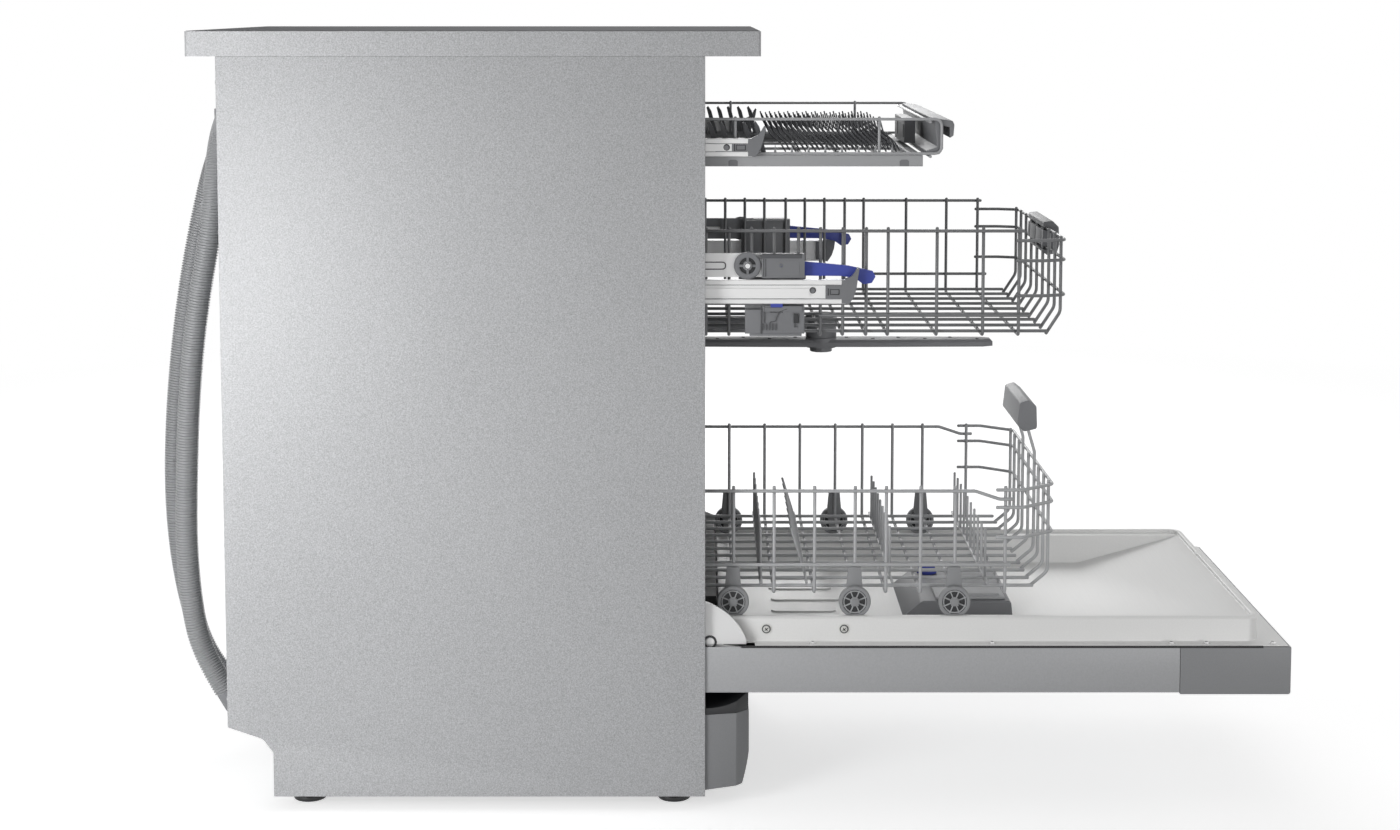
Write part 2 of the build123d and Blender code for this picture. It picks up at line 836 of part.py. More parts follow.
def make_button(x, half):
    """A push button whose hidden collar keeps it from falling out of the fascia."""
    low = door_face - fascia_proud
    inner = button_half_height - touch_gap
    cap = block(
        (x - half + touch_gap, x + half - touch_gap),
        (button_forward - inner, button_forward + inner),
        (low - 0.5, low + fascia_wall + 4),
    )
    collar = block(
        (x - half - collar_width, x + half + collar_width),
        (button_forward - inner - collar_width, button_forward + inner + collar_width),
        (low + fascia_wall + touch_gap, low + fascia_wall + 2),
    )
    return cap + collar


def door_pan(inset, top, floor):
    """The recess of the inner door: near-upright sides and a long slope up to the top edge."""
    half = basin_half + inset
    rear, front = liner_rear + 14 - inset, liner_front - 9 + inset
    upper = Pos(0, at((rear + front) / 2), top) * Rectangle(2 * half, front - rear)
    low_rear, low_front = pan_rear - inset, pan_front + inset
    lower = Pos(0, at((low_rear + low_front) / 2), floor) * Rectangle(
        2 * (pan_half + inset), low_front - low_rear
    )
    return loft([lower, upper])


def make_liner():
    t = liner_sheet
    flange_half = door_half - 2
    flange = block((-flange_half, flange_half), (18, door_reach - 3), (door_seam, door_seam + t))
    raised = block((-liner_half, liner_half), (liner_rear, liner_front), (door_seam, rim_height))
    raised = fillet(raised.edges().filter_by(Axis.Z).sort_by(Axis.Y)[:2], liner_corner)
    top_edges = raised.faces().sort_by(Axis.Z)[-1].edges()
    raised = chamfer(top_edges.sort_by(Axis.Y)[:-1], 2.5)
    track = shelf_height
    well = block(
        (-liner_half + rim_width, liner_half - rim_width),
        (liner_rear - 1, liner_front - rim_width),
        (track, rim_height + 1),
    )
    well = fillet(well.edges().filter_by(Axis.Z).sort_by(Axis.Y)[:2], 10)
    skin = (flange + raised + door_pan(t, track, liner_floor - t)) - door_pan(0, track, liner_floor)
    skin = skin - well
    hollow = block(
        (-liner_half + t, liner_half - t), (liner_rear + t, liner_front - t),
        (door_seam - 1, rim_height - t - 3),
    )
    hollow = fillet(hollow.edges().filter_by(Axis.Z).sort_by(Axis.Y)[:2], liner_corner - t)
    under_track = block(
        (-liner_half + rim_width - t, liner_half - rim_width + t),
        (liner_rear, liner_front - rim_width + t),
        (track - t, rim_height),
    )
    hollow = hollow - under_track - door_pan(t, track, liner_floor - t)
    liner = skin - hollow
    for side in (-1, 1):
        low, high = sorted((side * 206, side * (flange_half + 1)))
        liner = liner - block((low, high), (17, 54), (door_seam - 1, door_seam + t + 0.001))
    return liner


def make_hinge_arm():
    thick, outer = hinge_sheet, hinge_arm_outer
    arm = across(
        [(hinge_forward - 4, hinge_height - 9), (180, door_face + 14), (180, door_face + 34),
         (60, door_seam - 6), (22, door_seam - 1), (hinge_forward, hinge_height)],
        outer,
        outer + thick,
    )
    arm = arm + drum((outer, hinge_forward, hinge_height), RIGHTWARD, 9, thick)
    bore = hinge_pin_radius + bearing_gap
    return arm - disc_x(hinge_forward, hinge_height, bore, outer - 1, outer + thick + 1)


def make_dispenser():
    rear, front = dispenser
    housing = across(
        [(rear, liner_floor), (rear + 22, dispenser_top),
         (front - 2, dispenser_top), (front, liner_floor)],
        -dispenser_half,
        dispenser_half,
    )
    housing = chamfer(housing.faces().sort_by(Axis.Z)[-1].edges(), 2)
    cup = block(
        (lid_x[0] + cup_margin, lid_x[1] - cup_margin),
        (lid_forward[0] + cup_margin, lid_forward[1] - cup_margin),
        (liner_floor + 4, dispenser_top + 1),
    )
    return housing - cup


def make_dispenser_lid():
    z = dispenser_top + touch_gap
    top = z + lid_thickness
    plate = block(lid_x, lid_forward, (z, top))
    ridge = block(
        (lid_x[0] + 6, lid_x[0] + 12), (lid_forward[0] + 6, lid_forward[1] - 6), (top, top + 2.5)
    )
    return plate + ridge


def make_rinse_cap():
    z = dispenser_top + touch_gap
    top, reach = z + rinse_thickness, rinse_radius - 2
    cap = disc_z(rinse_x, rinse_forward, rinse_radius, z, top)
    return cap + block(
        (rinse_x - 2, rinse_x + 2), (rinse_forward - reach, rinse_forward + reach), (top, top + 4)
    )


save("door_outer_panel", make_door_panel())
save("control_fascia", make_fascia())
save("door_inner_liner", make_liner())
save("hinge_arms", both(make_hinge_arm()))
save("detergent_dispenser", make_dispenser())
save("dispenser_lid", make_dispenser_lid())
save("rinse_aid_cap", make_rinse_cap())
for name, (x, half) in button_stations.items():
    save(name, make_button(x, half))

# Lower basket


def front_rail(z, half, front, start, nose, radius):
    """A front rail: bent cross wire, with a straight return wire at each end."""
    cross = bent(
        [(-half, start + 0.5, z), (-nose, front, z), (nose, front, z), (half, start + 0.5, z)], 9, radius
    )
    side = wire((-half, start - 28, z), (-half, start, z), radius)
    return [cross, *both(side)]


def make_lower_wires():
    r = lower_wire
    top, mid, low = lower_rail_height, lower_mid_height, lower_floor_height
    wall = lower_half_width - 2 * r
    wires = []
    rail = bent(
        [(-lower_half_width, lower_rear, top), (-lower_half_width, 295.3, top),
         (-lower_half_width, 322, top - 9), (-lower_half_width, 336, top - 9)],
        8, r,
    )
    wires += both(rail)
    wires += both(wire((-lower_half_width, lower_rear, mid), (-lower_half_width, 334, mid), r))
    for forward in lower_bays:
        wires += both(wire((-wall, forward, low + r), (-wall, forward, top + 4), r))
        wires.append(wire((-wall - r, forward, low), (wall + r, forward, low), r))
    for step in range(-5, 6):
        x = step * lower_floor_pitch
        wires.append(wire((x, lower_rear + r, low + 2 * r), (x, lower_floor_front, low + 2 * r), r))
    for z in (top - 2 * r, mid):
        wires.append(wire((-wall, lower_rear - r, z), (wall, lower_rear - r, z), r))
    for step in range(-2, 3):
        x = step * 2 * lower_floor_pitch
        wires.append(wire((x, lower_rear + r, low + 3 * r), (x, lower_rear + r, top), r))
    for z in lower_front_heights:
        wires += front_rail(z, lower_half_width, lower_front, lower_return_front, lower_nose_half, r)
    inside = lower_front - 2 * r
    foot = lower_floor_front
    for x in (-lower_nose_half + 4, -115, -77, 0, 77, 115, lower_nose_half - 4):
        post = bent([(x, inside, 347), (x, inside, low + 16), (x, foot, low)], 10, r)
        wires.append(post)
    for x in (-grip_post_x, grip_post_x):
        wires.append(bent(
            [(x, foot, low), (x, inside, low + 16), (x, inside, 358), (x, 373, 384), (x, 373, 398)],
            [10, 14, 10], r,
        ))
    for forward in fixed_tine_stations:
        wires.append(wire((-170, forward, low + 4 * r), (170, forward, low + 4 * r), r))
        for step in range(-5, 5):
            x = (step + 0.5) * lower_floor_pitch
            start = (x, forward, low + 5 * r)
            wires.append(wire(start, (x, forward, start[2] + tine_height - 2), tine_wire))
    return wires


def make_lower_grip():
    outline = [(358, 392), (366, 384.5), (381, 388), (380, 414), (371, 421), (361, 418)]
    body = across(outline, -lower_grip_half, lower_grip_half)
    body = fillet(body.edges().filter_by(Axis.X), 3.5)
    for x in (-grip_post_x, grip_post_x):
        body = body - block((x - 2, x + 2), (371, 375), (380, 398))
    return body


def make_wheel(forward):
    low, high = -wheel_inner - wheel_width, -wheel_inner
    wheel = drum((low, forward, wheel_height), RIGHTWARD, wheel_radius, wheel_width, wheel_sides)
    middle = Plane(origin=(low - 1, at(forward), wheel_height), z_dir=(1, 0, 0))
    for turn in range(0, 360, 360 // wheel_windows):
        window = Polyline((6.5, -1.2), (12.5, -3.6), (12.5, 3.6), (6.5, 1.2), close=True)
        cut = middle * extrude(Rot(0, 0, turn) * make_face(window), wheel_width + 2)
        wheel = wheel - cut
    return wheel - disc_x(forward, wheel_height, axle_radius + bearing_gap, low - 1, high + 1)


def make_wheel_carriers():
    carriers = []
    plate_outer = -wheel_inner + touch_gap
    plate_inner_face = -lower_half_width + lower_wire
    top = lower_mid_height - lower_wire - touch_gap
    for forward in wheel_stations:
        plate = across(
            [(forward - 6, 214), (forward + 6, 214), (forward + 9, 236), (forward + 7, top),
             (forward - 7, top), (forward - 9, 236)],
            plate_outer, plate_inner_face,
        )
        tip = -wheel_inner - wheel_width
        start = tip - touch_gap
        axle = drum((start, forward, wheel_height), RIGHTWARD, axle_radius, plate_outer - start, bar_sides)
        cap = block(
            (tip - 2, tip - touch_gap), (forward - 4, forward + 4), (wheel_height - 4, wheel_height + 4)
        )
        carriers += both(plate + axle + cap)
    return carriers


def make_tine_row(forward, lean):
    """A folding row: a turning rod on the basket floor with plate tines standing on it."""
    z = tine_axis_height
    row = [rod((-168, forward, z), (168, forward, z), tine_wire)]
    side, up = -math.sin(lean), math.cos(lean)
    for step in range(-4, 5):
        x = step * lower_floor_pitch
        foot = (x, forward + tine_wire * side, z + tine_wire * up)
        row.append(wire(foot, (x, forward + tine_height * side, z + tine_height * up), tine_wire))
    return row


save("lower_rack_wires", make_lower_wires())
save("lower_rack_grip", make_lower_grip())
save("wheel_carriers", make_wheel_carriers())
for name, forward in zip(("rear_wheels", "middle_wheels", "front_wheels"), wheel_stations):
    save(name, both(make_wheel(forward)))
save("rear_tines", make_tine_row(rear_tine_forward, rear_tine_lean))
save("front_tines", make_tine_row(front_tine_forward, 0))

# Upper basket


def make_upper_wires():
    r = upper_wire
    top, mid, low = upper_rail_height, upper_mid_height, upper_floor_height
    wall = upper_half_width - 2 * r
    wires = both(wire((-upper_half_width, upper_rear, top), (-upper_half_width, 345, top), r))
    wires += both(wire((-upper_half_width, 123.6, mid), (-upper_half_width, 352, mid), r))
    for forward in upper_bays:
        wires += both(wire((-wall, forward, low + r), (-wall, forward, top + 3), r))
        wires.append(wire((-wall - r, forward, low), (wall + r, forward, low), r))
    for step in range(-4, 5):
        x = step * upper_floor_pitch
        wires.append(wire((x, upper_rear + r, low + 2 * r), (x, upper_floor_front, low + 2 * r), r))
    for z in (top - 2 * r, mid):
        wires.append(wire((-wall, upper_rear - r, z), (wall, upper_rear - r, z), r))
    for step in range(-2, 3):
        x = step * 2 * upper_floor_pitch * 0.9
        wires.append(wire((x, upper_rear + r, low + 3 * r), (x, upper_rear + r, top), r))
    for z in upper_front_heights:
        wires += front_rail(z, upper_half_width, upper_front, upper_return_front, upper_nose_half, r)
    inside = upper_front - 2 * r
    for x in (-171, -130, -88, -44, 0, 44, 88, 130, 171):
        wires.append(bent([(x, inside, 621), (x, inside, low + 24), (x, upper_floor_front, low)], 12, r))
    return wires


def make_upper_grip():
    half = upper_grip_half
    outline = [(384.5, 592), (390, 588), (401, 590), (404, 600), (403, 620), (396, 627), (386, 626)]
    body = across(outline, -half, half)
    body = fillet(body.edges().filter_by(Axis.X), 2.5)
    room = upper_wire + touch_gap
    for z in upper_front_heights[:2]:
        body = body - block((-half - 1, half + 1), (380, upper_front + room), (z - room, z + room))
    for x in (-44, 0, 44):
        body = body - block((x - 2.2, x + 2.2), (380, upper_front), (585, 622))
    return body


def make_feed_pipe():
    low = upper_floor_height - upper_wire
    pipe = drum((0, upper_rear + 4, feed_height), FORWARD, 9, upper_arm_forward - upper_rear - 4, 8)
    hub_low = upper_arm_bottom + arm_thickness + touch_gap
    hub = drum((0, upper_arm_forward, hub_low), UP, 18, low - touch_gap - hub_low)
    spigot = disc_z(
        0, upper_arm_forward, spigot_radius, upper_arm_bottom - 2, upper_arm_bottom + arm_thickness + 1
    )
    button = drum((0, upper_arm_forward, upper_arm_bottom - 5), UP, spigot_radius + 4, 4.7, 12)
    cup = drum((0, upper_rear - 3.5, feed_height), FORWARD, 11.5, 19, 12)
    return pipe + hub + spigot + button + cup


def make_rack_hangers():
    """The plates clipped to the basket's wires that slide up and down against the carriages."""
    wire_face = upper_half_width - upper_wire
    plate = across(
        [(46, 532), (104, 532), (104, 598), (98, 604), (52, 604), (46, 598)],
        -plate_inner + touch_gap, -wire_face - 0.1,
    )
    return plate


def make_carriage():
    """The plastic height adjuster that hangs behind and round the slide rail."""
    front = lever_forward + lever_pin_radius + 1.5
    rear, low, high = carriage_rear, carriage_low, carriage_top
    face, outer = -plate_inner - carriage_sheet, -202
    back = across(
        [(rear, low), (front, low), (front, high), (61, high), (61, 560), (rear, 550)],
        face, -plate_inner,
    )
    top_low = upper_rail_top + 2
    pin_root = -lever_inner - lever_width - 0.6
    upper_block = block((outer, face), (61, 91), (top_low, high))
    cheek = block((outer, pin_root), (91, front), (top_low, high))
    lid = block((outer, -plate_inner), (61, front), (high, high + 3))
    pin_length = -plate_inner - pin_root
    pin = drum((pin_root, lever_forward, lever_height), RIGHTWARD, lever_pin_radius, pin_length, bar_sides)
    housing = across(
        [(rear, low + 1), (front, low + 1), (front, 549), (71, 549), (71, 545), (rear, 545)],
        outer + 1, face,
    )
    notch = block((outer, -197), (70, 84), (542, 550))
    slots = block((outer, -198.5), (96, 101), (526, 538))
    stop = block((outer, face), (48, 104), (low - 1.5, low + 1))
    return back + upper_block + cheek + lid + pin + (housing - notch - slots) + stop


def make_roller_plate():
    """The bright steel bracket with its long slot, which carries the roller's axle."""
    z_low, z_high = upper_rail_top + 2.2, 605.7
    plate = block((-193.5, -192), (-75, 61), (z_low, z_high))
    plate = plate - block((-194, -191), (-60, 20), (590, 595))
    start = -roller_outer - touch_gap
    axle = drum((start, roller_forward, roller_height), RIGHTWARD, roller_axle, -193.5 - start, bar_sides)
    rivet = drum((-roller_outer - 1.6, roller_forward, roller_height), RIGHTWARD, 4.2, 1.3, 8)
    shoe = block((-201, -193.5), (-73, -52), (z_low - 1.4, z_high - 6))
    return plate + axle + rivet + shoe


def make_roller():
    low, high = -roller_outer, -roller_inner
    roller = drum((low, roller_forward, roller_height), RIGHTWARD, roller_radius, roller_width, wheel_sides)
    middle = Plane(origin=(low - 1, at(roller_forward), roller_height), z_dir=(1, 0, 0))
    for turn in range(45, 405, 90):
        window = Polyline((5.5, -2.8), (10.5, -5), (10.5, 5), (5.5, 2.8), close=True)
        roller = roller - middle * extrude(Rot(0, 0, turn) * make_face(window), 4)
    bore = roller_axle + bearing_gap
    return roller - disc_x(roller_forward, roller_height, bore, low - 1, high + 1)


def make_lever():
    body = across(
        [(lever_forward - 7, lever_height - 8), (148, lever_height - 8.4), (162, lever_height - 11),
         (171, lever_height - 17.5), (180, lever_height - 16), (184, lever_height - 9),
         (181, lever_height - 3), (154, lever_height + 3), (lever_forward - 7, lever_height + 8.5)],
        -lever_inner - lever_width, -lever_inner,
    )
    soft = body.edges().filter_by(Axis.X).sort_by(Axis.Y)[:5]
    body = fillet(soft, 2)
    bore = lever_pin_radius + bearing_gap
    return body - disc_x(lever_forward, lever_height, bore, -lever_inner - 5, -lever_inner + 1)


def slide_rail(top, drop, front, length):
    """A C-shaped slide rail with its guide rib, and the fin of its end cap as a second solid."""
    outer, inner = -rail_outer, -rail_outer + rail_depth
    low = top - drop
    web = block((outer, outer + rail_web), (front - length, front), (low, top))
    for z in (low, top - rail_web):
        web = web + block((outer, inner), (front - length, front), (z, z + rail_web))
    mid = top - drop / 2
    web = web + block((outer - rail_rib, outer), (front - length, front - 40), (mid - 4, mid + 4))
    cap = across(
        [(front, low + 0.5), (front + 3, low - 1.5), (front + 8, low + 4),
         (front + fin_length, top + 12), (front + fin_length - 2, top + 13.5),
         (front + 6, top + 3), (front, top)],
        outer, inner,
    )
    plug = block(
        (outer + rail_web + 0.1, inner), (front - 12, front),
        (low + rail_web + 0.1, top - rail_web - 0.1),
    )
    return [*both(web), *both(cap + plug)]


save("upper_rack_wires", make_upper_wires())
save("upper_rack_grip", make_upper_grip())
save("upper_feed_pipe", make_feed_pipe())
save("rack_hangers", both(make_rack_hangers()))
save("lift_carriages", [*both(make_carriage()), *both(make_roller_plate())])
save("carriage_rollers", both(make_roller()))
lever = make_lever()
save("lift_lever_left", lever)
save("lift_lever_right", mirror(lever, about=Plane.YZ))
save("upper_rails", slide_rail(upper_rail_top, upper_rail_drop, upper_rail_front, upper_rail_length))

# Cutlery tray


def comb(x):
    """A strip of short teeth along the tray that holds cutlery apart."""
    low, root = tray_base_top, tray_base_top + 2
    rear, front = tray_rear + 20, tray_front - 22
    points = [(front, low), (rear, low)]
    for step in range(int((front - rear) // comb_pitch)):
        start = rear + 2 + step * comb_pitch
        points += [(start, root), (start + comb_tooth / 2, low + comb_height), (start + comb_tooth, root)]
    points.append((front, root))
    return across(points, x - comb_half_width, x + comb_half_width)


def make_tray_base():
    """The tray's open floor: a frame, cross ribs, three long ribs on them and a comb each side."""
    low, top = tray_base_top - tray_base_drop, tray_base_top
    half = tray_half_width + tray_wire_radius - 0.2
    rear, front = tray_rear + 6, tray_front - 20
    inside, inside_rear, inside_front = half - tray_frame, rear + tray_frame, front - tray_frame
    bars = both(block((-half, -inside), (rear, front), (low, top)))
    bars.append(block((-inside, inside), (rear, inside_rear), (low, top)))
    bars.append(block((-inside, inside), (inside_front, front), (low, top)))
    for step in range(9):
        forward = tray_rear + tray_rib_pitch * (step + 1)
        bars.append(block(
            (-inside, inside), (forward, forward + tray_rib_width), (low, low + tray_cross_rib)
        ))
    for x in (-90, 0, 90):
        bars.append(block(
            (x - 2, x + 2), (inside_rear, inside_front), (low + tray_cross_rib, low + tray_long_rib)
        ))
    return bars + both(comb(-half + 8))


def make_tray_wires():
    r = tray_wire_radius
    half, high, low = tray_half_width, tray_rail_height, tray_low_height
    bend_start = tray_front - 20
    nose = bent(
        [(-half, bend_start, high), (-half, tray_front, high), (-half, tray_front, low),
         (-half, bend_start, low)],
        8, r,
    )
    wires = both(nose)
    for z in (high, low):
        wires += both(wire((-half, tray_rear, z), (-half, bend_start, z), r))
        for forward in (tray_rear, tray_front - 12):
            wires.append(wire((-half - r, forward, z - 2 * r), (half + r, forward, z - 2 * r), r))
    inside = -half + 2 * r
    for forward in tray_post_stations:
        wires += both(wire((inside, forward, tray_base_top), (inside, forward, high + 2), r))
    shoe_top = tray_rail_top - rail_web - touch_gap
    shoe_low = tray_rail_top - tray_rail_drop + rail_web + touch_gap
    shoe_outer = -rail_outer + rail_web + touch_gap
    for forward in tray_shoe_stations:
        shoe = block((shoe_outer, -half - r), (forward, forward + tray_shoe_length), (shoe_low, shoe_top))
        wires += both(shoe)
    return wires


def make_tray_grip():
    inner = tray_half_width - tray_wire_radius - touch_gap
    lip = across(
        [(252, 750), (266, 748), (268, 744), (267, 732), (263, 729.5), (263, 741), (254, 743.5)],
        -inner, inner,
    )
    web = across(
        [(238, 712), (252, 712), (256, 718), (256, 744),
         (252, 750), (246, 750), (250, 720), (238, 716)],
        -inner, inner,
    )
    return lip + web


save("cutlery_tray", make_tray_base())
save("tray_wires", make_tray_wires())
save("tray_grip", make_tray_grip())
save("tray_rails", slide_rail(tray_rail_top, tray_rail_drop, tray_rail_front, tray_rail_length))

# Water and mains connections on the back


def make_hose_fittings():
    """The outlet elbow, the open hook that holds the hose up and the peg its end is parked on."""
    rear = -cabinet_depth
    pipe = Polyline(
        (outlet_x, at(rear + 24), outlet_height),
        (outlet_x, at(elbow_corner), outlet_height),
        (outlet_x, at(elbow_end[0]), elbow_end[1]),
    )
    section = Plane(origin=pipe @ 0, z_dir=pipe % 0) * RegularPolygon(outlet_radius, 12)
    outlet = sweep(section, path=pipe, transition=Transition.RIGHT)
    way = pipe % 1
    inner = hose_bore_radius * math.cos(math.pi / hose_sides) - touch_gap
    outlet = outlet + drum((outlet_x, *elbow_end), (way.X, way.Y, way.Z), inner, spigot_depth, 12)
    under, middle = crown_height - hook_floor, crown_forward
    hook = across(
        [(rear, under), (middle - 8, under), (middle - 13.5, crown_height - 7),
         (middle - 13.5, crown_height + 4), (middle - 16.5, crown_height + 4),
         (middle - 16.5, crown_height - 9), (middle - 10, under - 3.5),
         (rear - 4, under - 3.5), (rear - 4, under - 16), (rear, under - 16)],
        crown_x - hook_half,
        crown_x + hook_half,
    )
    foot_rear = rear + step_depth
    peg = drum((stow_x, foot_rear - 22, stow_height), FORWARD, inner, 22, 12)
    return [outlet, hook, peg]


def make_gland():
    rear = -cabinet_depth
    body = drum((gland_x, rear - 9, gland_height), FORWARD, gland_radius, 17, 12)
    nut = drum((gland_x, rear - 5, gland_height), FORWARD, 12, 5, 6)
    return body + nut


# The drain hose leaves its outlet, climbs, turns over the hook and comes down to be parked.
hose_route = [
    (outlet_x, *elbow_end),
    (outlet_x, -554.3, 156.5),
    (outlet_x, -566.0, 208.0),
    (outlet_x, -571.0, 282.0),
    (outlet_x + 0.5, -569.0, 356.0),
    (outlet_x, -565.5, 430.0),
    (outlet_x - 0.5, -559.0, 502.0),
    (outlet_x, -549.5, 566.0),
    (outlet_x, -538.5, 622.0),
    (outlet_x, -532.5, 678.0),
    (outlet_x + 25, -531.8, 725.0),
    (crown_x - 26, crown_forward + 2.3, crown_height),
    (crown_x + 26, crown_forward - 2.3, crown_height),
    (stow_x - 25, -554.0, 726.0),
    (stow_x, -578.0, 680.0),
    (stow_x, -597.0, 600.0),
    (stow_x - 1, -610.0, 527.5),
    (stow_x, -620.0, 452.5),
    (stow_x + 1, -627.0, 377.5),
    (stow_x, -629.5, 302.5),
    (stow_x, -625.5, 228.0),
    (stow_x + 1, -614.0, 159.0),
    (stow_x, -596.0, 104.0),
    (stow_x, -567.0, 65.0),
    (stow_x, -524.0, stow_height),
    (stow_x, -476.0, stow_height),
]


def turn_radii(points):
    """The radius of each corner's arc, from its shorter run and the angle that it turns."""
    radii = []
    for before, here, after in zip(points, points[1:], points[2:]):
        one, two = here - before, after - here
        half_turn = math.radians(one.get_angle(two)) / 2
        radii.append(0.45 * min(one.length, two.length) / math.tan(half_turn))
    return radii


def ring(path, place, radius):
    """A many-sided ring square to the path, turned alike about a steady X axis."""
    spot = Plane(origin=path @ place, x_dir=(1, 0, 0), z_dir=path % place)
    return spot * RegularPolygon(radius, hose_sides)


def make_hose():
    points = [Vector(x, at(f), z) for x, f, z in hose_route]
    radii = turn_radii(points)
    path = FilletPolyline(*points, radius=radii)
    print("hose radii", [round(radius) for radius in radii])
    end_share = 2 * hose_radius / path.length
    pitch = (1 - 2 * end_share) / hose_ribs
    root = hose_radius - rib_height
    rings = [ring(path, 0, root)]
    for step in range(hose_ribs):
        start = end_share + step * pitch
        for share, radius in ((0.15, hose_radius), (0.60, hose_radius), (0.85, root)):
            rings.append(ring(path, start + share * pitch, radius))
    rings.append(ring(path, 1, root))
    outer = loft(rings, ruled=True)
    bore_places = [0, *[end_share + step * pitch / 2 for step in range(2 * hose_ribs + 1)], 1]
    bore = loft([ring(path, place, hose_bore_radius) for place in bore_places], ruled=True)
    hose = outer - bore
    print("hose length", round(path.length), "volume", round(hose.volume))
    return hose, path


def make_hose_cuff(path):
    """The rubber sleeve round the parked end of the hose."""
    tip = path @ 1
    base = Plane(origin=tip - (path % 1) * (cuff_length - 3), z_dir=path % 1)
    grip = hose_radius - rib_height + touch_gap
    sleeve = base * (RegularPolygon(grip + cuff_wall, 12) - RegularPolygon(grip, 12))
    return extrude(sleeve, cuff_length)


save("hose_fittings", make_hose_fittings())
save("mains_gland", make_gland())
hose, hose_path = make_hose()
save("drain_hose", hose)
save("hose_end_cuff", make_hose_cuff(hose_path))
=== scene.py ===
import json
import logging
import math
from dataclasses import dataclass, field
from enum import Enum

import bmesh
import bpy
from mathutils import Matrix, Vector

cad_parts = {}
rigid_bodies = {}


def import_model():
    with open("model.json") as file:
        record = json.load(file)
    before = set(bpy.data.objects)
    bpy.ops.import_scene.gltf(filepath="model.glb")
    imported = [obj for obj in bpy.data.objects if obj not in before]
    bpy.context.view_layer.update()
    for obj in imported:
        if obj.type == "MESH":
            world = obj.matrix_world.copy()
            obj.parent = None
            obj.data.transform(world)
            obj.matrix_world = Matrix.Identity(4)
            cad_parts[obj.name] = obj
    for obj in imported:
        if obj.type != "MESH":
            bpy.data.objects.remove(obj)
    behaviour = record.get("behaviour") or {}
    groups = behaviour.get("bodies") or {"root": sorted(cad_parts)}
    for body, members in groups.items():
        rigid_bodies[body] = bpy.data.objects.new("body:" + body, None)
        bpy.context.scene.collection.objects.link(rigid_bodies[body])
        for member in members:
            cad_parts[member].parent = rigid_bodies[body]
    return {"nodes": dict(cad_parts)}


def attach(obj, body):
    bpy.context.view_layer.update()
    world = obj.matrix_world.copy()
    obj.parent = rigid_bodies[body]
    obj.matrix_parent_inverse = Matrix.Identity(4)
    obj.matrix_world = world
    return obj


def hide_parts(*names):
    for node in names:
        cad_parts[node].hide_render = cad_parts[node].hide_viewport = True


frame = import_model()

LOG = logging.getLogger("dishwasher")
FRONT_Y = 42.35  # Y of the cabinet's front edge, in millimetres
MM = 0.001  # metres in a millimetre
SENSOR = 36.0  # the width that the camera's lens is counted against
BUMP_DEPTH = 0.0003  # how deep, in metres, a full bump would be
COAT_ROUGHNESS = 0.25
ARC_STEPS = 5  # how many straight steps a wire's corner has
WIRE_TURNS = 50.0  # the sharpest angle, in degrees, that still shades as one surface on a wire
WHITE = (1.0, 1.0, 1.0, 1.0)
Point = tuple[float, float, float]
Flat = tuple[float, float]
Colour = tuple[float, float, float, float]
Socket = bpy.types.NodeSocket


def spot(x: float, forward: float, z: float) -> Vector:
    """The place of a point given by X, its distance forward of the cabinet and its height, in mm."""
    return Vector((x, FRONT_Y - forward, z)) * MM


def tone(red: int, green: int, blue: int) -> Colour:
    """A display colour, 0 to 255 a channel, as the linear colour that a shader takes."""
    def linear(value: int) -> float:
        """One channel."""
        share = value / 255
        return share / 12.92 if share <= 0.04045 else ((share + 0.055) / 1.055) ** 2.4
    return (linear(red), linear(green), linear(blue), 1.0)


def linked(name: str, data: bpy.types.ID) -> bpy.types.Object:
    """A new object that shows some data, in the scene."""
    made = bpy.data.objects.new(name, data)
    bpy.context.scene.collection.objects.link(made)
    return made


class Graph:
    """A node tree in the making, with short calls for its sockets, nodes and links."""

    def __init__(self, tree: bpy.types.NodeTree) -> None:
        """Takes a tree, which may have nodes already."""
        self.tree = tree

    def face(self, way: str, *rows: tuple[str, str, object]) -> None:
        """Args:
            way: INPUT or OUTPUT.
            rows: each socket's name, its kind, and its value at first or None.
        """
        for name, kind, value in rows:
            socket = self.tree.interface.new_socket(name, in_out=way, socket_type="NodeSocket" + kind)
            if value is not None:
                socket.default_value = value

    def feed(self, node: bpy.types.Node, inputs: dict[str | int, object]) -> None:
        """Links or sets a node's inputs, which are named or numbered."""
        for name, value in inputs.items():
            if isinstance(value, Socket):
                self.tree.links.new(value, node.inputs[name])
            else:
                node.inputs[name].default_value = value

    def add(self, kind: str, inputs: dict[str | int, object] | None = None,
            **settings: object) -> bpy.types.bpy_prop_collection:
        """Adds a node.

        Args:
            kind: its type.
            inputs: sockets or values for its inputs, by name or number.
            settings: values for its own properties, which are set first.

        Returns:
            The node's outputs.
        """
        node = self.tree.nodes.new(kind)
        for name, value in settings.items():
            setattr(node, name, value)
        self.feed(node, inputs or {})
        return node.outputs

    def math(self, kind: str, *values: object) -> Socket:
        """The result of a Math node on sockets or numbers."""
        return self.add("ShaderNodeMath", dict(enumerate(values)), operation=kind)[0]


# Finishes


class Grain(Enum):
    """The small-scale surface that a finish has."""

    SPECKLE = "speckle"
    BRUSHED = "brushed"
    MOULDED = "moulded"


